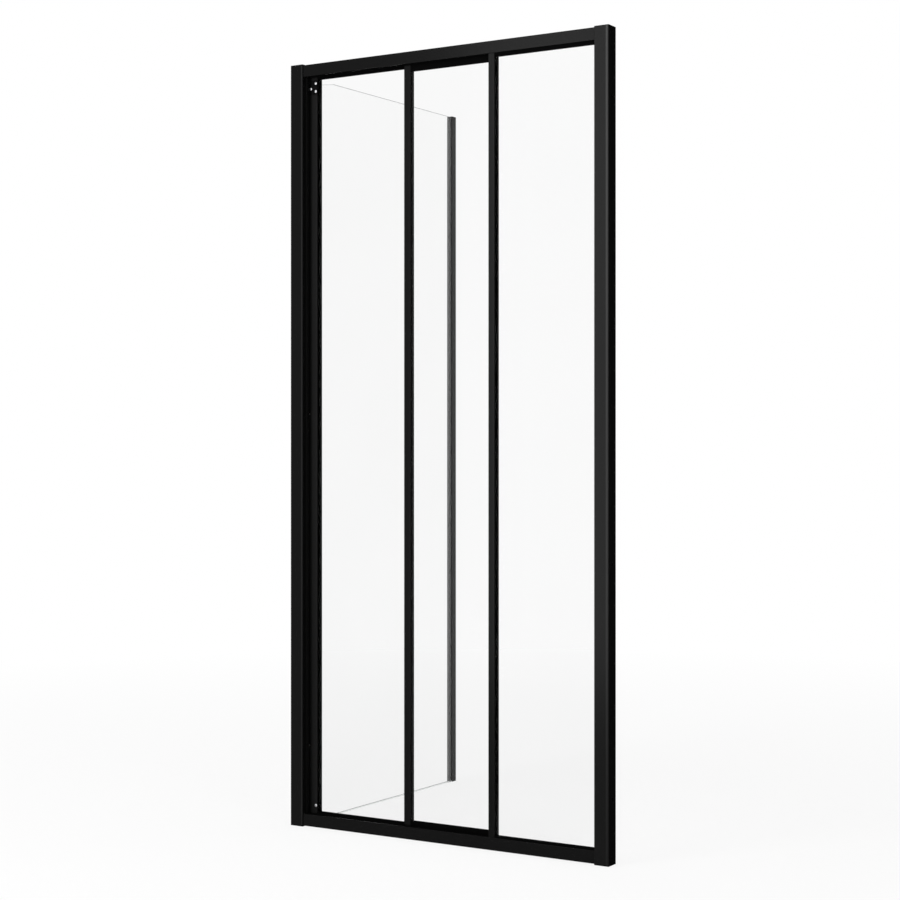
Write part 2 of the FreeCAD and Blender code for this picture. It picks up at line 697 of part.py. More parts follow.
# A leaf rail with a glazing groove that opens towards the glass.
def rail_loop(track, outer_level, inner_level, inward):
    slot_front = track + "_front + slot_wall"
    slot_back = track + "_back - slot_wall"
    bed = "%s %s rail_grip" % (inner_level, "+" if inward == "down" else "-")
    return [
        (track + "_front", outer_level),
        (track + "_back", outer_level),
        (track + "_back", inner_level),
        (slot_back, inner_level),
        (slot_back, bed),
        (slot_front, bed),
        (slot_front, inner_level),
        (track + "_front", inner_level),
    ]


# A U-shaped gasket on one upright glass edge: open_edge is the mouth of the groove, bed its floor.
def upright_gasket(name, track, open_edge, bed, inwards, z_ends):
    slot_front = track + "_front + slot_wall"
    slot_back = track + "_back - slot_wall"
    floor = "%s %s gasket" % (bed, inwards)
    corners = [
        (open_edge, slot_front),
        (bed, slot_front),
        (bed, slot_back),
        (open_edge, slot_back),
        (open_edge, slot_back + " - gasket"),
        (floor, slot_back + " - gasket"),
        (floor, slot_front + " + gasket"),
        (open_edge, slot_front + " + gasket"),
    ]
    return extrusion(name, "z", [corners], z_ends[0], z_ends[1])


def level_gasket(name, track, open_level, bed, inwards, x_ends):
    slot_front = track + "_front + slot_wall"
    slot_back = track + "_back - slot_wall"
    floor = "%s %s gasket" % (bed, inwards)
    corners = [
        (slot_front, open_level),
        (slot_front, bed),
        (slot_back, bed),
        (slot_back, open_level),
        (slot_back + " - gasket", open_level),
        (slot_back + " - gasket", floor),
        (slot_front + " + gasket", floor),
        (slot_front + " + gasket", open_level),
    ]
    return extrusion(name, "x", [corners], x_ends[0], x_ends[1])


# Glass, rails and gaskets of one pane between two grooves.
# mouths and beds are the x places of the groove openings and floors, left then right.
def make_pane(prefix, mouths, beds, rail_levels, low_label):
    low_outer, low_inner, top_inner, top_outer = rail_levels
    low_bed = low_inner + " - rail_grip"
    top_bed = top_inner + " + rail_grip"
    z_ends = (low_bed + " + gasket", top_bed + " - gasket")
    x_ends = (beds[0] + " + gasket", beds[1] + " - gasket")
    sub_part(glass_box(prefix, x_ends, z_ends), prefix + "_glass")
    low_loop = rail_loop(prefix, low_outer, low_inner, "up")
    top_loop = rail_loop(prefix, top_outer, top_inner, "down")
    low_rail = extrusion(prefix + "_low", "x", [low_loop], mouths[0], mouths[1])
    top_rail = extrusion(prefix + "_top", "x", [top_loop], mouths[0], mouths[1])
    gaskets = [
        upright_gasket(prefix + "_gasket_left", prefix, mouths[0], beds[0], "+", z_ends),
        upright_gasket(prefix + "_gasket_right", prefix, mouths[1], beds[1], "-", z_ends),
        level_gasket(prefix + "_gasket_low", prefix, low_inner, low_bed, "+", mouths),
        level_gasket(prefix + "_gasket_top", prefix, top_inner, top_bed, "-", mouths),
    ]
    sub_part(low_rail, low_label)
    sub_part(group(gaskets), prefix + "_gaskets")
    return top_rail


def make_fixed_pane():
    stile = extrusion("FixedStile", "z", [stile_loop("fixed", "fixed_left", "fixed_inner", "right")],
                      "sill_bed", "lip_low", "leaf_round")
    sub_part(stile, "fixed_stile")
    top_bead = make_pane("fixed", ("fixed_inner", "wall_inner"),
                         ("fixed_inner - stile_grip", "wall_slot_end"),
                         ("sill_bed", "fixed_low_edge", "fixed_top_edge", "lip_low"), "fixed_bottom_bead")
    sub_part(top_bead, "fixed_top_bead")


# Running gear of one sliding leaf

def hanger_centres(prefix):
    return (prefix + "_left + hanger_inset", prefix + "_right - hanger_inset")


def foot_screw_places(prefix):
    line = prefix + "_track + hanger_front + hanger_plate + foot_screw_line"
    return [("%s %s foot_screw_pitch / 2" % (centre, side), line)
            for centre in hanger_centres(prefix) for side in "+-"]


def make_running_gear(prefix, top_rail, roller_labels):
    plate_front = prefix + "_track + hanger_front"
    plate_back = plate_front + " + hanger_plate"
    roller_back = prefix + "_track + channel - roller_gap"
    roller_front = roller_back + " - roller_width"
    foot_top = "leaf_top + hanger_plate"
    bore_radius = "axle_radius + axle_fit"
    hangers = []
    axles = []
    glides = []
    for centre, roller_label in zip(hanger_centres(prefix), roller_labels):
        low_x = centre + " - hanger_width / 2"
        high_x = centre + " + hanger_width / 2"
        plate = box((low_x, plate_front, "leaf_top"), (high_x, plate_back, "roller_level + hanger_rise"))
        foot = box((low_x, plate_back, "leaf_top"), (high_x, plate_front + " + hanger_foot", foot_top))
        pin_hole = cylinder("y", (centre, plate_front, "roller_level"), bore_radius, "hanger_plate")
        hangers.append(cut(fuse([plate, foot]), [pin_hole]))
        pin = cylinder("y", (centre, plate_front, "roller_level"), "axle_radius",
                       roller_back + " - (" + plate_front + ")")
        collar = cylinder("y", (centre, plate_back, "roller_level"), "collar_radius",
                          roller_front + " - collar_gap - (" + plate_back + ")")
        axles.append(fuse([pin, collar]))
        rim = cylinder("y", (centre, roller_front, "roller_level"), "roller_radius", "roller_width")
        bore = cylinder("y", (centre, roller_front, "roller_level"), bore_radius, "roller_width")
        sub_part(cut(rim, [bore]), roller_label)
        glides.append(box((centre + " - glide_length / 2", prefix + "_front", "sill_bed + glide_gap"),
                          (centre + " + glide_length / 2", prefix + "_back", "leaf_low")))
    screws = []
    screw_holes = []
    for x, y in foot_screw_places(prefix):
        head_low_level = foot_top + " - small_head_height"
        shank = cylinder("z", (x, y, "leaf_top - foot_bite"), "small_screw",
                         "foot_bite + hanger_plate - small_head_height")
        head = cylinder("z", (x, y, head_low_level), "small_head", "small_head_height")
        screws.append(fuse([shank, head]))
        screw_holes.append(cylinder("z", (x, y, "leaf_top - foot_bite"), "small_screw + axle_fit",
                                    "foot_bite + hanger_plate"))
        screw_holes.append(cylinder("z", (x, y, head_low_level), "small_head + axle_fit", "hanger_plate"))
    sub_part(cut(group(hangers), screw_holes), prefix + "_hangers")
    sub_part(group(axles), prefix + "_axles")
    sub_part(group(glides), prefix + "_glides")
    sub_part(group(screws), prefix + "_hanger_screws")
    sub_part(cut(top_rail, screw_holes[::2]), prefix + "_top_rail")


# A brush seal on the front of a leaf's right stile, short of the pane in front by the running gap.
def brush_strip(prefix, pane_in_front):
    edge = prefix + "_right - brush_inset"
    return box((edge + " - brush_width", pane_in_front + " + running_gap", "leaf_low + brush_end"),
               (edge, prefix + "_front", "catch_low - brush_inset"))


def make_lead_leaf():
    make_closing_stile()
    trailing = extrusion("TrailingStile", "z", [stile_loop("lead", "trailing_left", "lead_right", "left")],
                         "leaf_low", "leaf_top", "leaf_round")
    sub_part(trailing, "trailing_stile")
    top_rail = make_pane("lead", ("closing_face", "trailing_left"),
                         ("closing_face - stile_grip", "trailing_left + stile_grip"),
                         ("leaf_low", "lead_low_edge", "lead_top_edge", "leaf_top"), "lead_bottom_rail")
    make_running_gear("lead", top_rail, ("lead_roller_closing", "lead_roller_trailing"))
    sub_part(brush_strip("lead", "follow_back"), "trailing_brush")
    pick_up = box(("pick_up_left", "follow_back + running_gap", "catch_low"),
                  ("pick_up_right", "lead_front", "catch_low + catch_height"))
    sub_part(pick_up, "lead_pick_up")


def make_closing_stile():
    slot_front = "lead_front + slot_wall"
    slot_back = "lead_back - slot_wall"
    bed = "closing_face - stile_grip"
    seal_floor = "lead_left + seal_bed"
    profile = [
        ("lead_left", "lead_front"),
        ("closing_face", "lead_front"),
        ("closing_face", slot_front),
        (bed, slot_front),
        (bed, slot_back),
        ("closing_face", slot_back),
        ("closing_face", "lead_back"),
        ("lead_left", "lead_back"),
        ("lead_left", "magnet_back"),
        (seal_floor, "magnet_back"),
        (seal_floor, "magnet_front"),
        ("lead_left", "magnet_front"),
    ]
    stile = extrusion("ClosingStile", "z", [profile], "leaf_low", "leaf_top", "leaf_round")
    finger_flange = box(("closing_face - slot_wall", slot_back, "lead_low_edge"),
                        ("lead_left + closing_stile_width", "lead_back", "lead_top_edge"))
    holes = []
    screws = []
    for x, level, seat in bright_screw_places():
        bite = slot_front + " - (" + seat + ")"
        holes.append(cylinder("y", (x, seat, level), "small_screw + axle_fit", bite))
        shank = cylinder("y", (x, seat, level), "small_screw", bite)
        head_start = (x, seat + " - plate_screw_rise", level)
        head = cylinder("y", head_start, "plate_screw_head", "plate_screw_rise")
        screws.append(fuse([shank, head]))
    cells = upright_cells([
        ("lead_left", "lead_front", "closing_face", "lead_back"),
        ("closing_face", "lead_front", "lead_left + closing_stile_width", "lead_back"),
    ], "leaf_low", "leaf_top")
    sub_part(walls(cut(fuse([stile, finger_flange]), holes), cells), "closing_stile")
    sub_part(group(screws), "corner_plate_screws")
    plate_level = "head_low - plate_top"
    plate_low = ("lead_left + plate_margin", "lead_front - plate_thickness", plate_level + " - plate_height")
    plate = box(plate_low, ("closing_face - plate_margin", "lead_front", plate_level))
    sub_part(cut(plate, holes), "corner_plate")
    seal = box(("lead_left - seal_stand", "magnet_front", "leaf_low"),
               (seal_floor, "magnet_back", "leaf_top"))
    sub_part(seal, "closing_seal")


# Bright screws: three on the corner plate, one low on the stile itself.
def bright_screw_places():
    near = "lead_left + plate_screw_inset"
    far = "closing_face - plate_screw_inset"
    on_plate = "lead_front - plate_thickness"
    return [
        (far, "head_low - plate_screw_high", on_plate),
        (near, "head_low - plate_screw_mid", on_plate),
        (far, "head_low - plate_screw_lower", on_plate),
        (far, "sill_top + low_screw", "lead_front"),
    ]


def make_follow_leaf():
    left_loop = stile_loop("follow", "follow_left", "follow_inner_left", "right")
    left_stile = extrusion("FollowLeft", "z", [left_loop], "leaf_low", "leaf_top", "leaf_round")
    sub_part(left_stile, "follow_left_stile")
    right_loop = stile_loop("follow", "follow_inner_right", "follow_right", "left")
    right_stile = extrusion("FollowRight", "z", [right_loop], "leaf_low", "leaf_top", "leaf_round")
    sub_part(right_stile, "follow_right_stile")
    top_rail = make_pane("follow", ("follow_inner_left", "follow_inner_right"),
                         ("follow_inner_left - stile_grip", "follow_inner_right + stile_grip"),
                         ("leaf_low", "follow_low_edge", "follow_top_edge", "leaf_top"),
                         "follow_bottom_rail")
    make_running_gear("follow", top_rail, ("follow_roller_left", "follow_roller_right"))
    sub_part(brush_strip("follow", "fixed_back"), "follow_brush")
    far_catch = "pick_up_right + follow_travel + running_gap"
    catch_back = "lead_front - running_gap"
    catch_top = "catch_low + catch_height"
    catches = [
        box(("follow_left", "follow_back", "catch_low"),
            ("pick_up_left - running_gap", catch_back, catch_top)),
        box((far_catch, "follow_back", "catch_low"),
            (far_catch + " + catch_width", catch_back, catch_top)),
    ]
    sub_part(group(catches), "follow_catches")


def make_bumpers():
    bumpers = []
    for prefix in ("follow", "lead"):
        open_edge = "%s_right + %s_travel + bumper_gap" % (prefix, prefix)
        bumpers.append(box((open_edge, prefix + "_front", "head_low + bumper_low"),
                           ("wall_inner", prefix + "_back", "leaf_top")))
    sub_part(group(bumpers), "door_bumpers")


# Side panel

def make_side_panel():
    outline = [
        ("side_glass_front", "side_glass_low"),
        ("side_glass_back", "side_glass_low"),
        ("side_glass_back", "side_glass_top"),
        ("relief_end", "side_glass_top"),
        ("side_glass_front", "relief_level"),
    ]
    pane_left = "side_middle - side_glass_thickness / 2"
    pane_right = "side_middle + side_glass_thickness / 2"
    sub_part(extrusion("SideGlass", "x", [outline], pane_left, pane_right), "side_glass")

    groove_left = "side_slot_left - side_profile_wall"
    outer_left = groove_left + " - side_chamber"
    outer_right = "side_slot_right + side_profile_wall"
    chamber_left = outer_left + " + side_profile_wall"
    chamber_front = "side_profile_front + side_profile_wall"
    web = "back - side_profile_wall"
    channel = [
        (outer_left, "side_profile_front"),
        ("side_slot_left", "side_profile_front"),
        ("side_slot_left", web),
        ("side_slot_right", web),
        ("side_slot_right", "side_profile_front"),
        (outer_right, "side_profile_front"),
        (outer_right, "back"),
        (outer_left, "back"),
    ]
    hollow = rectangle(chamber_left, chamber_front, groove_left, web)
    profile = extrusion("SideProfile", "z", [channel, hollow], "0", "side_height")
    holes = [cylinder("y", ("side_middle", web + " - side_profile_wall", level),
                      "side_hole / 2", "3 * side_profile_wall")
             for level in wall_hole_levels("side_hole_pitch")]
    cells = upright_cells([
        (outer_left, "side_profile_front", groove_left, chamber_front),
        (outer_left, chamber_front, chamber_left, web),
        (groove_left, "side_profile_front", "side_slot_left", web),
        ("side_slot_right", "side_profile_front", outer_right, web),
        (outer_left, web, outer_right, "back"),
    ], "0", "side_height")
    sub_part(walls(cut(profile, holes), cells), "side_wall_profile")
    sub_part(box((outer_left, "side_profile_front", "side_height"),
                 (outer_right, "back", "side_height + side_cap")), "side_wall_cap")

    for label, start, end, top in (
            ("side_corner_gaskets", "side_glass_front", "post_back", "relief_level"),
            ("side_wall_gaskets", "side_profile_front", "side_glass_back", "side_glass_top")):
        strips = [
            box(("side_slot_left", start, "side_glass_low"), (pane_left, end, top)),
            box((pane_right, start, "side_glass_low"), ("side_slot_right", end, top)),
        ]
        sub_part(group(strips), label)
    sub_part(box((pane_left, "post_back", "0"), (pane_right, "side_profile_front", "side_glass_low")),
             "side_floor_seal")


def check_and_write():
    doc.recompute()
    for item in doc.Objects:
        if "Invalid" in item.State or "Error" in item.State:
            raise RuntimeError("%s failed: %s" % (item.Label, item.State))
    for item in sub_parts:
        if item.Shape.isNull() or not item.Shape.isValid() or not item.Shape.Solids:
            raise RuntimeError("%s has no valid solid" % item.Label)
    os.makedirs("parts", exist_ok=True)
    for item in sub_parts:
        item.Shape.exportStep(os.path.join("parts", item.Label + ".step"))
        print(item.Label, len(item.Shape.Solids), "solids", round(item.Shape.Volume / 1000, 1), "cm3")


fill_sheet()
make_corner_post()
make_wall_post()
make_rails()
make_rail_joints()
make_strike()
make_fixed_pane()
make_lead_leaf()
make_follow_leaf()
make_bumpers()
make_side_panel()
check_and_write()
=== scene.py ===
# %% [markdown]
# # A framed sliding shower door with a fixed side panel
#
# This lesson dresses a finished CAD model. The CAD already holds every profile, pane, screw and roller at
# its true size, so the script moves nothing: it gives each node a finish, and replaces the few nodes whose
# small forms are easier to make here (glass edges, screw heads, brush pile, rollers, the corner plate).
# All lengths are metres. +X runs along the door, +Y into the shower, +Z up.

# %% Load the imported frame
import json
import math

import bmesh
import bpy
from mathutils import Matrix, Vector


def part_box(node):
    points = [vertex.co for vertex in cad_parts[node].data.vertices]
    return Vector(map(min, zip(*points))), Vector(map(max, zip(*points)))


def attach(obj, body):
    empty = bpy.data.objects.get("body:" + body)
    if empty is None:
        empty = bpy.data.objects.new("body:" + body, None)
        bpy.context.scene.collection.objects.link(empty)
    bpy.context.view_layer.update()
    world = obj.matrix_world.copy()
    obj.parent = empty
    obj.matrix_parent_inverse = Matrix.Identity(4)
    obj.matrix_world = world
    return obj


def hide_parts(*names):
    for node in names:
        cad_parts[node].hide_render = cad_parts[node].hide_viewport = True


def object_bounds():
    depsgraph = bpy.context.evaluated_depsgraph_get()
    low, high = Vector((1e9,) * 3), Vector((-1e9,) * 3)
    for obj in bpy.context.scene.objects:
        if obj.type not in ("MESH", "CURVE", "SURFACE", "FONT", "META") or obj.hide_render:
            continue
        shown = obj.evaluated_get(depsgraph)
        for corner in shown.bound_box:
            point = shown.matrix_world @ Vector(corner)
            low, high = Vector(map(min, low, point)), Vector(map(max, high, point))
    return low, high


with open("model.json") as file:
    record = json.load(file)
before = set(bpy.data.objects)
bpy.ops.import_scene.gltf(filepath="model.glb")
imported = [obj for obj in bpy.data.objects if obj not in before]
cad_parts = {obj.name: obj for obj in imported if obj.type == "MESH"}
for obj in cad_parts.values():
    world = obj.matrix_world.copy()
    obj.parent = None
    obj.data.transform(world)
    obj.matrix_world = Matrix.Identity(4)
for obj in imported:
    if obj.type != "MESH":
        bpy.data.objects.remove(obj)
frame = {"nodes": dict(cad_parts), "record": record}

MM = 0.001
QUARTER_TURN = math.pi / 2
SHOWN_DIGITS = 4

def shown(point):
    return [round(value, SHOWN_DIGITS) for value in point]


cad_low, cad_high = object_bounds()
print("CAD box", shown(cad_low), shown(cad_high))

# %% [markdown]
# ## Shared helpers for finishes
#
# A real finish is never one flat colour: a coat has a fine skin, moulded plastic a grain, rubber a bloom.
# Images could show that, but they need a UV map on every piece. One noise pattern on Object coordinates
# gives it at true size, because these are metres here as long as no object is moved or scaled. One helper
# builds that noise and feeds it to colour, roughness and bump, and each finish below only states its own
# scale and its own limits. Three smaller helpers come first, because every node tree in the lesson needs
# them: one feeds a socket, one adds a calculation, one maps a range.

# %% Helpers for all node trees
def feed(tree, socket, value):
    if hasattr(value, "is_output"):
        tree.links.new(value, socket)
    else:
        socket.default_value = value


def math_node(tree, operation, first, second):
    node = tree.nodes.new("ShaderNodeMath")
    node.operation = operation
    feed(tree, node.inputs[0], first)
    feed(tree, node.inputs[1], second)
    return node.outputs["Value"]


def map_range(tree, value, from_limits, to_limits):
    limits = tree.nodes.new("ShaderNodeMapRange")
    limits.inputs["From Min"].default_value, limits.inputs["From Max"].default_value = from_limits
    limits.inputs["To Min"].default_value, limits.inputs["To Max"].default_value = to_limits
    tree.links.new(value, limits.inputs["Value"])
    return limits.outputs["Result"]


# %% Noise-grained finishes
GRAIN_LIMITS = (0.3, 0.7)

def grey(level):
    return (level, level, level)


def new_finish(name):
    material = bpy.data.materials.new(name)
    material.use_nodes = True
    return material, material.node_tree, material.node_tree.nodes["Principled BSDF"]


def grain_noise(tree, cells_per_metre, stretch=(1, 1, 1), detail=3):
    place = tree.nodes.new("ShaderNodeTexCoord")
    mapping = tree.nodes.new("ShaderNodeMapping")
    mapping.inputs["Scale"].default_value = stretch
    noise = tree.nodes.new("ShaderNodeTexNoise")
    noise.inputs["Scale"].default_value = cells_per_metre
    noise.inputs["Detail"].default_value = detail
    tree.links.new(place.outputs["Object"], mapping.inputs["Vector"])
    tree.links.new(mapping.outputs["Vector"], noise.inputs["Vector"])
    return noise.outputs["Fac"]


def spread_colour(tree, shader, fac, dark, light):
    ramp = tree.nodes.new("ShaderNodeValToRGB")
    for stop, limit, colour in zip(ramp.color_ramp.elements, GRAIN_LIMITS, (dark, light)):
        stop.position = limit
        stop.color = (*colour, 1)
    tree.links.new(fac, ramp.inputs["Fac"])
    tree.links.new(ramp.outputs["Color"], shader.inputs["Base Color"])


def spread_roughness(tree, shader, fac, limits):
    tree.links.new(map_range(tree, fac, GRAIN_LIMITS, limits), shader.inputs["Roughness"])


def raise_grain(tree, shader, fac, height):
    bump = tree.nodes.new("ShaderNodeBump")
    bump.inputs["Strength"].default_value = 1
    bump.inputs["Distance"].default_value = height
    tree.links.new(fac, bump.inputs["Height"])
    tree.links.new(bump.outputs["Normal"], shader.inputs["Normal"])


def grained_finish(name, dark, light, rough, cells_per_metre, height, stretch=(1, 1, 1), **sockets):
    material, tree, shader = new_finish(name)
    fac = grain_noise(tree, cells_per_metre, stretch)
    spread_colour(tree, shader, fac, dark, light)
    spread_roughness(tree, shader, fac, rough)
    raise_grain(tree, shader, fac, height)
    for socket, value in sockets.items():
        shader.inputs[socket.replace("_", " ")].default_value = value
    print("finish", name)
    return material


# %% [markdown]
# ## Black finishes
#
# The profiles are aluminium extrusions with a satin black powder coat. Such a coat flows into a faint
# orange peel about a millimetre across, which softens the reflections without making it dull. A lighter
# line is painted into it a few millimetres from the right-hand edge of each post, brightest at the top: a
# painted highlight, standing in for the light that the edge catches. It could be painted by hand, but it
# follows a straight edge, so a ramp on Object X draws it exactly, and a second one on Object Z lets it fade
# towards the floor. The rails of the leaves are matt anodised, and their near-black colour is painted shade
# for the narrow shadow bands under the head rail and above the sill. Caps, glides and blocks are moulded
# plastic, which has a finer grain, and the seals are soft rubber.

# %% Painted highlight line along an edge
# Painted highlight: a lighter line in the coat a few millimetres from an edge, fading towards the floor,
# stands in for light caught along the edge.
def paint_edge_highlight(material, node, inset, half_width, colour, low_share):
    tree = material.node_tree
    base = tree.nodes["Principled BSDF"].inputs["Base Color"]
    coat = base.links[0].from_socket
    low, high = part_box(node)
    place = tree.nodes.new("ShaderNodeTexCoord")
    parts = tree.nodes.new("ShaderNodeSeparateXYZ")
    tree.links.new(place.outputs["Object"], parts.inputs["Vector"])
    line = high.x - inset
    rising = map_range(tree, parts.outputs["X"], (line - half_width, line), (0, 1))
    falling = map_range(tree, parts.outputs["X"], (line, line + half_width), (1, 0))
    fading = map_range(tree, parts.outputs["Z"], (low.z, high.z), (low_share, 1))
    across = math_node(tree, "MULTIPLY", rising, falling)
    painted_line = tree.nodes.new("ShaderNodeMix")
    painted_line.data_type = "RGBA"
    tree.links.new(math_node(tree, "MULTIPLY", across, fading), painted_line.inputs["Factor"])
    tree.links.new(coat, painted_line.inputs["A"])
    painted_line.inputs["B"].default_value = (*colour, 1)
    tree.links.new(painted_line.outputs["Result"], base)
    print("painted highlight line on", node)


# %% Powder coats
def powder_coated(name, dark=0.0026, light=0.0036, rough=(0.17, 0.24), gloss=0.06):
    return grained_finish(
        name, grey(dark), grey(light), rough,
        cells_per_metre=900, height=0.006 * MM, Specular_IOR_Level=gloss)


powder_coat = powder_coated("satin_black_powder_coat")
# painted highlight: a lighter line near the right-hand edge of the corner post
corner_post_painted_highlight = powder_coated("corner_post_with_painted_highlight")
paint_edge_highlight(corner_post_painted_highlight, "corner_post", inset=3 * MM, half_width=2 * MM, colour=grey(0.02), low_share=0.6)
# painted light: the wall post's coat is lighter than the same coat on the other profiles, standing in for the
# brighter light it gets; it also carries a painted highlight line.
wall_post_painted_light = powder_coated("wall_post_with_painted_light", dark=0.0043, light=0.0053)
paint_edge_highlight(wall_post_painted_light, "wall_post", inset=4.5 * MM, half_width=4 * MM, colour=grey(0.054), low_share=0.1)
closing_coat = powder_coated("matt_black_powder_coat", dark=0.005, light=0.007, rough=(0.35, 0.45))
glossy_coat = powder_coated("glossy_black_coat", dark=0.005, light=0.007, rough=(0.2, 0.28), gloss=0.2)

# %% Anodised rails, plastic, plate, rubber and brush pile
# painted shade: the near-black colour and almost no gloss stand in for the shade in the narrow bands under
# the head rail and above the sill.
painted_shade_anodised = grained_finish(
    "black_anodised_painted_shade", grey(0.0012), grey(0.0018), (0.5, 0.6),
    cells_per_metre=1500, height=0.006 * MM, Specular_IOR_Level=0.008)
moulded_plastic = grained_finish(
    "moulded_black_plastic", (0.004, 0.004, 0.0041), (0.006, 0.006, 0.0062), (0.45, 0.58),
    cells_per_metre=2200, height=0.01 * MM, Specular_IOR_Level=0.1)
plate_paint = grained_finish(
    "black_painted_plate", (0.002, 0.002, 0.0021), (0.0032, 0.0032, 0.0033), (0.35, 0.45),
    cells_per_metre=1400, height=0.01 * MM, Specular_IOR_Level=0.03)
soft_rubber = grained_finish(
    "soft_black_rubber", grey(0.004), grey(0.007), (0.7, 0.85),
    cells_per_metre=1600, height=0.02 * MM, Specular_IOR_Level=0.1)
brush_pile = grained_finish(
    "black_brush_pile", grey(0.0025), grey(0.005), (0.75, 0.9),
    cells_per_metre=3000, height=0.02 * MM, Specular_IOR_Level=0.03)
grey_rubber = grained_finish(
    "soft_grey_rubber", grey(0.1), grey(0.13), (0.6, 0.75),
    cells_per_metre=1600, height=0.02 * MM, Specular_IOR_Level=0.1)

# %% [markdown]
# ## Bare metal, acetal and clear strip
#
# Hangers and axles are brushed stainless steel. An anisotropic shader could give the streaks, but it needs
# a tangent for each piece. Stretching the noise along one axis turns its cells into brush lines without
# one. The screws on the corner plate are the only bright pieces on the whole door, so they get a smooth
# plated finish. Rollers are white acetal, and the strip under the side glass is clear soft plastic.

# %% Steel, plating, acetal and clear strip
BRUSH_LINES = (0.05, 1, 1)
brushed_steel = grained_finish(
    "brushed_stainless_steel", (0.5, 0.5, 0.51), (0.64, 0.64, 0.65), (0.24, 0.38),
    cells_per_metre=2600, height=0.004 * MM, stretch=BRUSH_LINES, Metallic=1)
bright_plating = grained_finish(
    "bright_plated_steel", (0.44, 0.44, 0.45), (0.54, 0.54, 0.55), (0.28, 0.38),
    cells_per_metre=1800, height=0.002 * MM, Metallic=1)
white_acetal = grained_finish(
    "white_acetal", (0.78, 0.78, 0.76), (0.86, 0.86, 0.84), (0.3, 0.4),
    cells_per_metre=1200, height=0.005 * MM)
clear_strip = grained_finish(
    "clear_soft_strip", (0.86, 0.88, 0.87), (0.92, 0.94, 0.93), (0.12, 0.25),
    cells_per_metre=700, height=0.01 * MM, Transmission_Weight=1, IOR=1.3)

# %% [markdown]
# ## Glass
#
# Toughened glass is clear, but each pane still takes a little of the light, and the hot rollers of the
# furnace leave a wave of a few hundredths of a millimetre about every 300 mm. A transparent shader would be
# quick, but it mirrors nothing, so the pane faces are a transmissive shader with that wave as a bump. The
# door panes hardly mirror the room in the photo, as glass with an easy-clean coat does, so they get a low
# index, while the side pane is plain glass and veils what stands behind it. The ground edges are seen
# through the long way of the glass, so they look much darker and slightly green, and they get a finish of
# their own.

# %% Pane and edge finishes
door_pane = grained_finish(
    "clear_door_glass", (0.942, 0.943, 0.9425), (0.95, 0.951, 0.9505), (0.0, 0.004),
    cells_per_metre=3, height=0.02 * MM, Transmission_Weight=1, IOR=1.12, Specular_Tint=(*grey(0.3), 1))
side_pane = grained_finish(
    "clear_side_glass", (0.976, 0.977, 0.9765), (0.984, 0.985, 0.9845), (0.0, 0.004),
    cells_per_metre=3, height=0.02 * MM, Transmission_Weight=1, IOR=1.45)
pane_edge = grained_finish(
    "ground_glass_edge", (0.2, 0.24, 0.23), (0.27, 0.32, 0.305), (0.2, 0.35),
    cells_per_metre=900, height=0.01 * MM, Transmission_Weight=0.4, IOR=1.45)

# %% [markdown]
# ## Finishes on the CAD nodes
#
# The imported record already says which finish each node takes, as a slot. A list of every node would do, but
# it is long and easy to get wrong. Reading that table keeps the lesson short: one dictionary from slot to
# material dresses every node that stays as it is. A few nodes differ a little from the rest: the posts have
# their painted highlight lines, the wall post's coat is a shade greyer as painted light for the brighter
# light on it, the closing stile, which hands touch, is coated dull, and the profile on the far wall is
# glossier and has grey glazing strips.

# %% Dress the nodes by their slots
FINISH_OF_SLOT = {
    "frame_black": powder_coat,
    "rail_black": painted_shade_anodised,
    "fitting_black": moulded_plastic,
    "plate_black": plate_paint,
    "door_glass": door_pane,
    "side_glass": side_pane,
    "seal_black": soft_rubber,
    "brush_black": brush_pile,
    "seal_clear": clear_strip,
    "hanger_steel": brushed_steel,
    "screw_steel": brushed_steel,
    "screw_bright": bright_plating,
    "roller_white": white_acetal,
}
FINISH_OF_NODE = {
    "corner_post": corner_post_painted_highlight,
    "wall_post": wall_post_painted_light,
    "closing_stile": closing_coat,
    "side_wall_profile": glossy_coat,
    "side_wall_gaskets": grey_rubber,
}
slot_of_node = {row["node"]: row["material_slot"] for row in frame["record"]["subparts"]}
body_of_node = {}
for body, members in frame["record"]["behaviour"]["bodies"].items():
    body_of_node.update({node: body for node in members})
for node, piece in frame["nodes"].items():
    piece.data.materials.clear()
    piece.data.materials.append(FINISH_OF_NODE.get(node, FINISH_OF_SLOT[slot_of_node[node]]))
print("dressed", len(frame["nodes"]), "nodes")

# %% [markdown]
# ## Standing in for a node
#
# A new piece has to move with the same body as the node that it replaces, and take the same finish, which
# each maker below gives it. The body could be written out for each piece, but the record holds it, so one
# helper looks it up, makes the object, puts it in the scene and hides the node.

# %% Helper: a piece that takes a node's place
def linked_object(name, data):
    thing = bpy.data.objects.new(name, data)
    bpy.context.scene.collection.objects.link(thing)
    return thing


def stand_in(name, node, mesh):
    piece = linked_object(name, mesh)
    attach(piece, body_of_node[node])
    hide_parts(node)
    print(name, "for", node, len(mesh.polygons), "faces")
    return piece


def mesh_from(shape, name):
    mesh = bpy.data.meshes.new(name)
    shape.to_mesh(mesh)
    shape.free()
    return mesh


# %% [markdown]
# ## Panes with ground edges
#
# The CAD panes are sharp slabs. On a real pane the edge is ground flat and both arrises are taken off, and
# that thin band is what draws the line of the side panel in a photo. A bevel on the slab itself would do,
# but the shape of a CAD object stays as it is, so each pane is made anew. Its outline can be read from the
# node: its corners, seen along the thickness, sorted round their middle. Extruding that outline and
# bevelling every edge gives the arrises, and each face that doesn't look along the thickness is edge.

# %% Outline of a flat node
SAME_DIGITS = 5

def flat_axes(thin):
    return [axis for axis in range(3) if axis != thin]


def flat_outline(node, thin):
    points = {tuple(round(vertex.co[axis], SAME_DIGITS) for axis in flat_axes(thin))
              for vertex in frame["nodes"][node].data.vertices}
    middle = [sum(point[k] for point in points) / len(points) for k in range(2)]
    return sorted(points, key=lambda point: math.atan2(point[1] - middle[1], point[0] - middle[0]))


# %% Make the four panes
ARRIS = 0.5 * MM
FACE_ALONG = 0.99

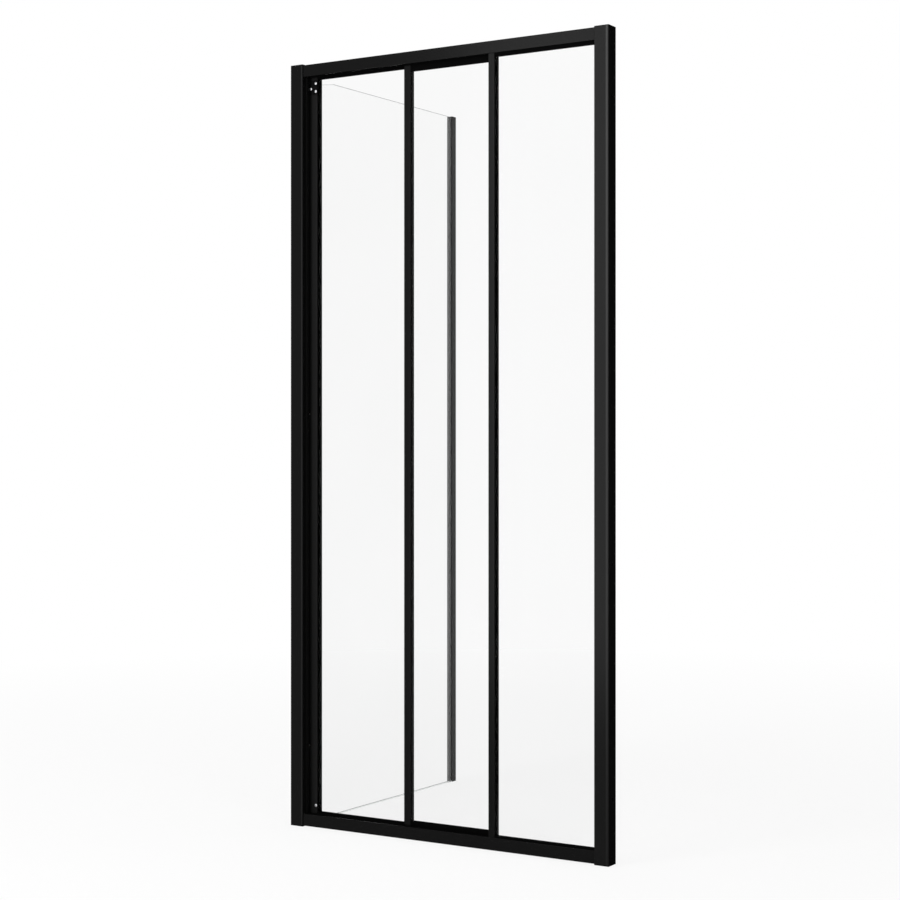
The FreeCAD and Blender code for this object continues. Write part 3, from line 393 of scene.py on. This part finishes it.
def ground_pane(node, thin):
    low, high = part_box(node)
    shape = bmesh.new()
    rim = []
    for flat_point in flat_outline(node, thin):
        point = Vector(low)
        for axis, value in zip(flat_axes(thin), flat_point):
            point[axis] = value
        rim.append(shape.verts.new(point))
    sheet = shape.faces.new(rim)
    grown = bmesh.ops.extrude_face_region(shape, geom=[sheet])
    moved = [item for item in grown["geom"] if isinstance(item, bmesh.types.BMVert)]
    step = Vector((0, 0, 0))
    step[thin] = high[thin] - low[thin]
    bmesh.ops.translate(shape, verts=moved, vec=step)
    bmesh.ops.recalc_face_normals(shape, faces=shape.faces)
    bmesh.ops.bevel(shape, geom=list(shape.edges), offset=ARRIS, segments=1, affect="EDGES")
    bmesh.ops.recalc_face_normals(shape, faces=shape.faces)
    for face in shape.faces:
        face.material_index = 0 if abs(face.normal[thin]) > FACE_ALONG else 1
    pane = stand_in(node + "_ground", node, mesh_from(shape, node + "_ground"))
    pane.data.materials.append(FINISH_OF_SLOT[slot_of_node[node]])
    pane.data.materials.append(pane_edge)


ALONG_X, ALONG_Y = 0, 1
for node in ("lead_glass", "follow_glass", "fixed_glass"):
    ground_pane(node, ALONG_Y)
ground_pane("side_glass", ALONG_X)

# %% [markdown]
# ## Corner plate
#
# A small painted plate sits at the top of the closing stile. It is stamped from sheet, so its corners are
# round and its front edges are slightly broken. One bevel on a finished block would round all edges alike.
# Rounding the four corners of one face first, then giving it thickness, then breaking the rim follows the
# same order as the press does.

# %% Stamp the corner plate
PLATE_CORNER = 2.5 * MM
CORNER_STEPS = 5
ROUND_PROFILE = 0.5
PLATE_BREAK = 0.25 * MM
BREAK_STEPS = 2
SAME_SPOT = 1e-6

def stamped_plate(node):
    low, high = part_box(node)
    shape = bmesh.new()
    rim = [shape.verts.new((x, high.y, z)) for x, z in
           ((low.x, low.z), (high.x, low.z), (high.x, high.z), (low.x, high.z))]
    shape.faces.new(rim)
    bmesh.ops.bevel(shape, geom=list(shape.verts), offset=PLATE_CORNER, segments=CORNER_STEPS,
                    affect="VERTICES", profile=ROUND_PROFILE)
    grown = bmesh.ops.extrude_face_region(shape, geom=list(shape.faces))
    front_points = [item for item in grown["geom"] if isinstance(item, bmesh.types.BMVert)]
    bmesh.ops.translate(shape, verts=front_points, vec=(0, low.y - high.y, 0))
    front_rim = [edge for edge in shape.edges
                 if all(abs(vert.co.y - low.y) < SAME_SPOT for vert in edge.verts)]
    bmesh.ops.bevel(shape, geom=front_rim, offset=PLATE_BREAK, segments=BREAK_STEPS, affect="EDGES")
    bmesh.ops.recalc_face_normals(shape, faces=shape.faces)
    plate = stand_in(node + "_stamped", node, mesh_from(shape, node + "_stamped"))
    plate.data.materials.append(plate_paint)


stamped_plate("corner_plate")

# %% [markdown]
# ## Screws
#
# The bright screws at the closing stile and the adjusting screws behind the wall post are pan heads with a
# cross recess. Modelling each one would repeat the same work. So one screw is turned from a profile, its
# recess is cut by a boolean, and a node tree sets a copy on each screw place. The places come from the CAD
# node: every loose island of its mesh is one screw. Each copy is also turned by a random amount about its
# own axis, as screws are in real life, with a fixed seed so that the result is always the same.

# %% Spin a profile about the upright axis
def spun(profile, steps, closed):
    shape = bmesh.new()
    points = [shape.verts.new((radius, 0, height)) for radius, height in profile]
    edges = [shape.edges.new(pair) for pair in zip(points, points[1:])]
    if closed:
        edges.append(shape.edges.new((points[-1], points[0])))
    bmesh.ops.spin(shape, geom=points + edges, cent=(0, 0, 0), axis=(0, 0, 1), angle=2 * math.pi,
                   steps=steps, use_duplicate=False)
    bmesh.ops.remove_doubles(shape, verts=shape.verts, dist=SAME_SPOT)
    bmesh.ops.recalc_face_normals(shape, faces=shape.faces)
    return shape


# %% Turn one pan head screw and cut its recess
TURN_STEPS = 28
DOME_STEPS = 5
RIM_SHARE = 0.45
RECESS_WIDTH = 0.24
RECESS_REACH = 0.58
RECESS_DEPTH = 0.6

def cross_cutter(radius, height):
    shape = bmesh.new()
    size = Matrix.Diagonal((2 * radius * RECESS_REACH, radius * RECESS_WIDTH, height, 1))
    recess_floor = height * (1 - RECESS_DEPTH)
    for turn in (0, QUARTER_TURN):
        place = Matrix.Translation((0, 0, recess_floor + height / 2)) @ Matrix.Rotation(turn, 4, "Z")
        bmesh.ops.create_cube(shape, size=1, matrix=place @ size)
    return shape


def evaluated_mesh(piece):
    bpy.context.view_layer.update()
    seen = piece.evaluated_get(bpy.context.evaluated_depsgraph_get())
    return bpy.data.meshes.new_from_object(seen)


def pan_screw(head_radius, head_height, shank_radius, shank_length):
    rim = head_height * RIM_SHARE
    dome = []
    for step in range(DOME_STEPS + 1):
        angle = QUARTER_TURN * step / DOME_STEPS
        dome.append((head_radius * math.cos(angle), rim + (head_height - rim) * math.sin(angle)))
    shank = [(0, -shank_length), (shank_radius, -shank_length), (shank_radius, 0), (head_radius, 0)]
    turned = spun(shank + dome, TURN_STEPS, closed=False)
    screw = linked_object("turned_screw", mesh_from(turned, "turned_screw"))
    cutting = cross_cutter(head_radius, head_height)
    cutter = linked_object("cross_recess", mesh_from(cutting, "cross_recess"))
    recess = screw.modifiers.new("recess", "BOOLEAN")
    recess.operation = "DIFFERENCE"
    recess.solver = "EXACT"
    recess.use_self = True
    recess.object = cutter
    screw.data = evaluated_mesh(screw)
    screw.modifiers.clear()
    bpy.data.objects.remove(cutter)
    return screw


# %% Helpers for geometry node trees
def tree_with_inputs(name, sockets):
    tree = bpy.data.node_groups.new(name, "GeometryNodeTree")
    keys = {}
    tree.interface.new_socket("Geometry", in_out="INPUT", socket_type="NodeSocketGeometry")
    for label, kind in sockets:
        keys[label] = tree.interface.new_socket(label, in_out="INPUT", socket_type=kind).identifier
    tree.interface.new_socket("Geometry", in_out="OUTPUT", socket_type="NodeSocketGeometry")
    return tree, keys, tree.nodes.new("NodeGroupInput"), tree.nodes.new("NodeGroupOutput")


def add_node(tree, kind, **inputs):
    node = tree.nodes.new(kind)
    for label, value in inputs.items():
        feed(tree, node.inputs[label.replace("_", " ")], value)
    return node


def finish_tree(tree, geometry, material, leave):
    solid = add_node(tree, "GeometryNodeRealizeInstances", Geometry=geometry).outputs["Geometry"]
    coated = add_node(tree, "GeometryNodeSetMaterial", Geometry=solid, Material=material)
    tree.links.new(coated.outputs["Geometry"], leave.inputs["Geometry"])


def made_by_tree(name, mesh, tree, values):
    host = linked_object(name, mesh)
    modifier = host.modifiers.new(name, "NODES")
    modifier.node_group = tree
    for key, value in values.items():
        modifier[key] = value
    result = evaluated_mesh(host)
    bpy.data.objects.remove(host)
    return result


# %% Node tree: a copy of a screw on every point
RANDOM_FLOAT_MAX = 3
RANDOM_FLOAT = 1

def screw_tree():
    tree, keys, enter, leave = tree_with_inputs("screws_on_points", (
        ("Screw", "NodeSocketObject"), ("Head turn", "NodeSocketVector"), ("Seed", "NodeSocketInt"),
        ("Finish", "NodeSocketMaterial")))
    template = add_node(tree, "GeometryNodeObjectInfo", Object=enter.outputs["Screw"])
    drive = add_node(tree, "FunctionNodeRandomValue", Seed=enter.outputs["Seed"])
    drive.inputs[RANDOM_FLOAT_MAX].default_value = QUARTER_TURN
    about_axis = add_node(tree, "ShaderNodeCombineXYZ", Z=drive.outputs[RANDOM_FLOAT])
    own_turn = add_node(tree, "FunctionNodeEulerToRotation", Euler=about_axis.outputs["Vector"])
    facing = add_node(tree, "FunctionNodeEulerToRotation", Euler=enter.outputs["Head turn"])
    whole_turn = add_node(tree, "FunctionNodeRotateRotation", Rotation=facing.outputs["Rotation"],
                          Rotate_By=own_turn.outputs["Rotation"])
    whole_turn.rotation_space = "LOCAL"
    copies = add_node(tree, "GeometryNodeInstanceOnPoints", Points=enter.outputs["Geometry"],
                      Instance=template.outputs["Geometry"], Rotation=whole_turn.outputs["Rotation"])
    finish_tree(tree, copies.outputs["Instances"], enter.outputs["Finish"], leave)
    return tree, keys


set_screws, screw_keys = screw_tree()
print("screw tree inputs", list(screw_keys))

# %% Find the screw places of a node
def islands(node):
    shape = bmesh.new()
    shape.from_mesh(frame["nodes"][node].data)
    bmesh.ops.remove_doubles(shape, verts=shape.verts, dist=SAME_SPOT)
    boxes = []
    left = set(shape.verts)
    while left:
        group = set()
        wave = [left.pop()]
        while wave:
            vert = wave.pop()
            group.add(vert)
            near = [edge.other_vert(vert) for edge in vert.link_edges]
            fresh = [other for other in near if other in left]
            left.difference_update(fresh)
            wave += fresh
        boxes.append([Vector([pick(vert.co[axis] for vert in group) for axis in range(3)])
                      for pick in (min, max)])
    shape.free()
    return sorted(boxes, key=lambda pair: tuple(pair[0]))


# %% Set the screws of two nodes
SCREW_SEED = 7
FACING_FRONT = (QUARTER_TURN, 0, 0)
FACING_BACK = (-QUARTER_TURN, 0, 0)

def recessed_screws(node, head_height, shank_radius, facing, finish):
    places = islands(node)
    low, high = places[0]
    head_radius = (high.x - low.x) / 2
    shank_length = min(pair[1].y - pair[0].y for pair in places) - head_height
    seats = []
    for low, high in places:
        seat = low.y + head_height if facing == FACING_FRONT else high.y - head_height
        seats.append(((low.x + high.x) / 2, seat, (low.z + high.z) / 2))
    points = bpy.data.meshes.new(node + "_places")
    points.from_pydata(seats, [], [])
    template = pan_screw(head_radius, head_height, shank_radius, shank_length)
    mesh = made_by_tree(node + "_points", points, set_screws, {
        screw_keys["Screw"]: template,
        screw_keys["Head turn"]: facing,
        screw_keys["Seed"]: SCREW_SEED,
        screw_keys["Finish"]: finish,
    })
    bpy.data.objects.remove(template)
    stand_in(node + "_recessed", node, mesh)


HEAD_HEIGHT = 1.8 * MM
BRIGHT_SHANK = 1.5 * MM
ADJUSTING_SHANK = 2 * MM
recessed_screws("corner_plate_screws", HEAD_HEIGHT, BRIGHT_SHANK, FACING_FRONT, bright_plating)
recessed_screws("adjusting_screws", HEAD_HEIGHT, ADJUSTING_SHANK, FACING_BACK, brushed_steel)

# %% [markdown]
# ## Brush seals
#
# Each sliding leaf wipes its neighbour with a strip of brush pile: a thin backing with thousands of short
# bristles. A hair system could grow them, but hair is lost when the model is exported. A node tree makes
# plain faces instead: a grid gives the roots, a four-sided tapering cone is one bristle, and each copy
# leans a little at random. The strip in the CAD sets the length, the width and the height.

# %% Node tree: bristles on a backing strip
PILE_SHARE = 0.8
TIP_SHARE = 0.35
BRISTLE_SIDES = 4
RANDOM_VECTOR_MIN = 0
RANDOM_VECTOR_MAX = 1
RANDOM_VECTOR = 0

def brush_tree():
    tree, keys, enter, leave = tree_with_inputs("bristles_on_strip", (
        ("Width", "NodeSocketFloat"), ("Length", "NodeSocketFloat"), ("Backing", "NodeSocketFloat"),
        ("Pile", "NodeSocketFloat"), ("Bristle", "NodeSocketFloat"), ("Rows", "NodeSocketInt"),
        ("Per row", "NodeSocketInt"), ("Lean", "NodeSocketVector"), ("Counter lean", "NodeSocketVector"),
        ("Seed", "NodeSocketInt"), ("Finish", "NodeSocketMaterial")))
    inputs = enter.outputs
    pile_width = math_node(tree, "MULTIPLY", inputs["Width"], PILE_SHARE)
    roots = add_node(tree, "GeometryNodeMeshGrid", Size_X=pile_width, Size_Y=inputs["Length"],
                     Vertices_X=inputs["Rows"], Vertices_Y=inputs["Per row"])
    tip = math_node(tree, "MULTIPLY", inputs["Bristle"], TIP_SHARE)
    bristle = add_node(tree, "GeometryNodeMeshCone", Vertices=BRISTLE_SIDES, Side_Segments=1,
                       Fill_Segments=1, Radius_Top=tip, Radius_Bottom=inputs["Bristle"],
                       Depth=inputs["Pile"])
    lean = add_node(tree, "FunctionNodeRandomValue", Seed=inputs["Seed"])
    lean.data_type = "FLOAT_VECTOR"
    tree.links.new(inputs["Counter lean"], lean.inputs[RANDOM_VECTOR_MIN])
    tree.links.new(inputs["Lean"], lean.inputs[RANDOM_VECTOR_MAX])
    leaning = add_node(tree, "FunctionNodeEulerToRotation", Euler=lean.outputs[RANDOM_VECTOR])
    copies = add_node(tree, "GeometryNodeInstanceOnPoints", Points=roots.outputs["Mesh"],
                      Instance=bristle.outputs["Mesh"], Rotation=leaning.outputs["Rotation"])
    strip_size = add_node(tree, "ShaderNodeCombineXYZ", X=inputs["Width"], Y=inputs["Length"],
                          Z=inputs["Backing"])
    strip = add_node(tree, "GeometryNodeMeshCube", Size=strip_size.outputs["Vector"])
    both = add_node(tree, "GeometryNodeJoinGeometry")
    tree.links.new(strip.outputs["Mesh"], both.inputs["Geometry"])
    tree.links.new(copies.outputs["Instances"], both.inputs["Geometry"])
    finish_tree(tree, both.outputs["Geometry"], inputs["Finish"], leave)
    return tree, keys


set_bristles, brush_keys = brush_tree()
print("brush tree inputs", list(brush_keys))

# %% Make both brush seals
BACKING = 0.4 * MM
BRISTLE_RADIUS = 0.22 * MM
BRISTLE_PITCH = 1.5 * MM
BRISTLE_ROWS = 4
BRISTLE_LEAN = 0.12
BRUSH_SEED = 3

def bristled_seal(node):
    low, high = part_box(node)
    size = high - low
    mesh = made_by_tree(node + "_host", bpy.data.meshes.new(node + "_host"), set_bristles, {
        brush_keys["Width"]: size.x,
        brush_keys["Length"]: size.z,
        brush_keys["Backing"]: BACKING,
        brush_keys["Pile"]: size.y - BACKING / 2,
        brush_keys["Bristle"]: BRISTLE_RADIUS,
        brush_keys["Rows"]: BRISTLE_ROWS,
        brush_keys["Per row"]: int(size.z / BRISTLE_PITCH),
        brush_keys["Lean"]: (BRISTLE_LEAN, BRISTLE_LEAN, 0),
        brush_keys["Counter lean"]: (-BRISTLE_LEAN, -BRISTLE_LEAN, 0),
        brush_keys["Seed"]: BRUSH_SEED,
        brush_keys["Finish"]: brush_pile,
    })
    middle = (low + high) / 2
    root = Matrix.Translation((middle.x, high.y - BACKING / 2, middle.z))
    mesh.transform(root @ Matrix.Rotation(QUARTER_TURN, 4, "X"))
    stand_in(node + "_bristled", node, mesh)


for node in ("trailing_brush", "follow_brush"):
    bristled_seal(node)

# %% [markdown]
# ## Rollers
#
# Each leaf hangs from two small acetal rollers that run on a lip inside the head rail. A roller is turned
# on a lathe: a hub round the axle, a thinner web and a tread with broken edges. Stacked cylinders would
# leave faces inside. Spinning half of its section about the axle makes it in one step, and the section
# closes on itself, so the result is a closed ring.

# %% Turn the four rollers
HUB_RADIUS = 4.4 * MM
WEB_RADIUS = 5.5 * MM
BORE_RADIUS = 2.55 * MM
WEB_SINK = 0.5 * MM
TREAD_BREAK = 0.35 * MM
ROLLER_STEPS = 56

def turned_roller(node):
    low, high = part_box(node)
    radius = (high.z - low.z) / 2
    half = (high.y - low.y) / 2
    side = [(BORE_RADIUS, half), (HUB_RADIUS, half), (HUB_RADIUS + WEB_SINK, half - WEB_SINK),
            (WEB_RADIUS, half - WEB_SINK), (WEB_RADIUS + WEB_SINK, half), (radius - TREAD_BREAK, half),
            (radius, half - TREAD_BREAK)]
    profile = side + [(reach, -height) for reach, height in reversed(side)]
    shape = spun(profile, ROLLER_STEPS, closed=True)
    place = Matrix.Translation((low + high) / 2) @ Matrix.Rotation(QUARTER_TURN, 4, "X")
    bmesh.ops.transform(shape, matrix=place, verts=shape.verts)
    roller = stand_in(node + "_turned", node, mesh_from(shape, node + "_turned"))
    roller.data.materials.append(white_acetal)


for node, slot in slot_of_node.items():
    if slot == "roller_white":
        turned_roller(node)

# %% [markdown]
# ## Studio
#
# The photo is a cut-out on pure white. The floor and the world are white to the camera, to reflections and
# to what is seen through glass, and the world lights the door with a plain soft light. That alone would be
# enough for a pale object, but black profiles show mostly what they reflect, so the lamps are placed for
# their reflections: a broad soft panel in front that the right half of the door mirrors, a second one above
# it, and a narrow strip at the right that draws the light line on the rounded edges. A dark card stands
# where the wall of the room would be, just beyond the wall post, with a narrow foot on the floor. Only
# reflections close to it see it, so it takes no light away, and the faces that look that way stay dark.

# %% World
WORLD_LIGHT = 0.6
SEEN_WHITE = 1

def any_seen_ray(tree):
    path = tree.nodes.new("ShaderNodeLightPath")
    seen = path.outputs["Is Camera Ray"]
    for name in ("Is Glossy Ray", "Is Transmission Ray"):
        seen = math_node(tree, "MAXIMUM", seen, path.outputs[name])
    return seen


world = bpy.data.worlds.new("studio")
world.use_nodes = True
bpy.context.scene.world = world
sky = world.node_tree
sky.nodes.clear()
choose = sky.nodes.new("ShaderNodeMixShader")
sky.links.new(any_seen_ray(sky), choose.inputs["Fac"])
for entry, strength in zip(choose.inputs[1:], (WORLD_LIGHT, SEEN_WHITE)):
    room = sky.nodes.new("ShaderNodeBackground")
    room.inputs["Color"].default_value = (*grey(1), 1)
    room.inputs["Strength"].default_value = strength
    sky.links.new(room.outputs["Background"], entry)
surface = sky.nodes.new("ShaderNodeOutputWorld")
sky.links.new(choose.outputs["Shader"], surface.inputs["Surface"])
print("world light", WORLD_LIGHT)

# %% Floor
FLOOR_HALF = 60.0
FLOOR_TONE = 0.95
NEAR_GLOW = 0.85
NEAR_REACH = 0.8
FAR_REACH = 4.0
FLOOR_DROP = 0.3 * MM

floor_shape = bmesh.new()
bmesh.ops.create_grid(floor_shape, x_segments=1, y_segments=1, size=FLOOR_HALF,
                      matrix=Matrix.Translation((0, 0, -FLOOR_DROP)))
floor = linked_object("floor", mesh_from(floor_shape, "floor"))
floor_finish, floor_tree, floor_shader = new_finish("pale_floor")
floor_tree.nodes.remove(floor_shader)
floor_lit = floor_tree.nodes.new("ShaderNodeBsdfDiffuse")
floor_lit.inputs["Color"].default_value = (*grey(FLOOR_TONE), 1)
floor_white = floor_tree.nodes.new("ShaderNodeEmission")
floor_white.inputs["Strength"].default_value = SEEN_WHITE
floor_place = floor_tree.nodes.new("ShaderNodeTexCoord")
floor_reach = floor_tree.nodes.new("ShaderNodeVectorMath")
floor_reach.operation = "LENGTH"
floor_tree.links.new(floor_place.outputs["Object"], floor_reach.inputs[0])
floor_glow = map_range(floor_tree, floor_reach.outputs["Value"], (NEAR_REACH, FAR_REACH), (NEAR_GLOW, 1))
floor_share = math_node(floor_tree, "MULTIPLY", any_seen_ray(floor_tree), floor_glow)
floor_mix = floor_tree.nodes.new("ShaderNodeMixShader")
floor_tree.links.new(floor_share, floor_mix.inputs["Fac"])
floor_tree.links.new(floor_lit.outputs["BSDF"], floor_mix.inputs[1])
floor_tree.links.new(floor_white.outputs["Emission"], floor_mix.inputs[2])
floor_tree.links.new(floor_mix.outputs["Shader"], floor_tree.nodes["Material Output"].inputs["Surface"])
floor.data.materials.append(floor_finish)
print("floor", 2 * FLOOR_HALF, "m")

# %% Lamps
DOOR_FRONT = cad_low.y
PANEL_AWAY = 2.4
PANEL_ASIDE = -0.92
PANEL_WIDTH = 0.95
STRIP_AWAY = 3.0
STRIP_TURN = math.radians(58)
STRIP_HEIGHT = 1.1
STRIP_AIM = Vector((0, DOOR_FRONT, 1.0))

def soft_panel(name, place, aim, width, tall, power):
    lamp = bpy.data.lights.new(name, "AREA")
    lamp.shape = "RECTANGLE"
    lamp.size = width
    lamp.size_y = tall
    lamp.energy = power
    panel = linked_object(name, lamp)
    panel.location = place
    panel.rotation_euler = (aim - place).to_track_quat("-Z", "Y").to_euler()
    panel.visible_camera = False
    panel.visible_transmission = False
    print("lamp", name, power, "W")


def front_panel(name, height, tall, power):
    place = Vector((PANEL_ASIDE, DOOR_FRONT - PANEL_AWAY, height))
    soft_panel(name, place, place + Vector((0, 1, 0)), PANEL_WIDTH, tall, power)


front_panel("front_panel", height=1.5, tall=2.9, power=31)
front_panel("upper_panel", height=2.4, tall=1.7, power=18)
strip_x = STRIP_AWAY * math.sin(STRIP_TURN)
strip_y = DOOR_FRONT - STRIP_AWAY * math.cos(STRIP_TURN)
# The strip lights the rounded edges; the lighter line beside each post edge is a painted highlight in the
# post coats.
soft_panel("edge_strip", Vector((strip_x, strip_y, STRIP_HEIGHT)), STRIP_AIM, width=0.6, tall=2.2, power=26)

# %% Dark card
CARD_PLANE = cad_high.x + 60 * MM
CARD_FROM = cad_low.y + 45 * MM
CARD_TO = 0.5
CARD_TALL = 2.2
CARD_REACH = 0.85
CARD_TONE = 0.002

card_shape = bmesh.new()
card_rim = [card_shape.verts.new((CARD_PLANE, y, z)) for y, z in (
    (CARD_FROM, 0), (CARD_TO, 0), (CARD_TO, CARD_TALL), (CARD_FROM, CARD_TALL))]
card_foot = [card_shape.verts.new((x, y, 0)) for x, y in (
    (cad_high.x, CARD_TO), (CARD_PLANE, CARD_TO), (CARD_PLANE, cad_low.y), (cad_high.x, cad_low.y))]
for rim in (card_rim, card_foot):
    card_shape.faces.new(rim)
card = linked_object("dark_card", mesh_from(card_shape, "dark_card"))
card_finish, card_tree, card_shader = new_finish("dark_card")
card_shader.inputs["Base Color"].default_value = (*grey(CARD_TONE), 1)
card_shader.inputs["Specular IOR Level"].default_value = 0
card_path = card_tree.nodes.new("ShaderNodeLightPath")
card_far = math_node(card_tree, "GREATER_THAN", card_path.outputs["Ray Length"], CARD_REACH)
card_gone = card_tree.nodes.new("ShaderNodeBsdfTransparent")
card_mix = card_tree.nodes.new("ShaderNodeMixShader")
card_tree.links.new(card_far, card_mix.inputs["Fac"])
card_tree.links.new(card_shader.outputs["BSDF"], card_mix.inputs[1])
card_tree.links.new(card_gone.outputs["BSDF"], card_mix.inputs[2])
card_tree.links.new(card_mix.outputs["Shader"], card_tree.nodes["Material Output"].inputs["Surface"])
card.data.materials.append(card_finish)
card.visible_camera = False
card.visible_transmission = False
card.visible_diffuse = False
card.visible_shadow = False
print("dark card", CARD_TALL, "m tall")

# %% [markdown]
# ## Camera
#
# The camera stands half as high as the door with its axis level, so upright edges stay upright in the
# picture. It could be matched by eye, but the edges of the rails give it more closely: where they run
# together in the photo fixes the distance, about five metres, and the angle, 31.85 degrees to the door. The
# small shift only sets the horizon a few pixels above the middle of the frame.

# %% Camera at the photo's viewing angle
IMAGE_SIDE = 900
FOCAL_PIXELS = 1887.7
HORIZON_ABOVE_MIDDLE = 5.2
EYE_HEIGHT = 0.9516
TURN = math.radians(31.85)
CORNER_ASIDE = -0.3987
CORNER_AWAY = 4.7245
SENSOR = 36.0

right_hand = Vector((math.cos(TURN), math.sin(TURN), 0))
forward = Vector((-math.sin(TURN), math.cos(TURN), 0))
corner = Vector((cad_low.x, cad_low.y, 0))
eye = corner - CORNER_ASIDE * right_hand - CORNER_AWAY * forward
eye.z = EYE_HEIGHT
camera_data = bpy.data.cameras.new("camera")
camera_data.sensor_width = SENSOR
camera_data.lens = SENSOR * FOCAL_PIXELS / IMAGE_SIDE
camera_data.shift_y = -HORIZON_ABOVE_MIDDLE / IMAGE_SIDE
camera = linked_object("camera", camera_data)
camera.location = eye
camera.rotation_euler = (QUARTER_TURN, 0, TURN)
bpy.context.scene.camera = camera
bpy.context.scene.view_settings.view_transform = "Standard"
print("camera at", shown(eye), "lens", round(camera_data.lens, 2))
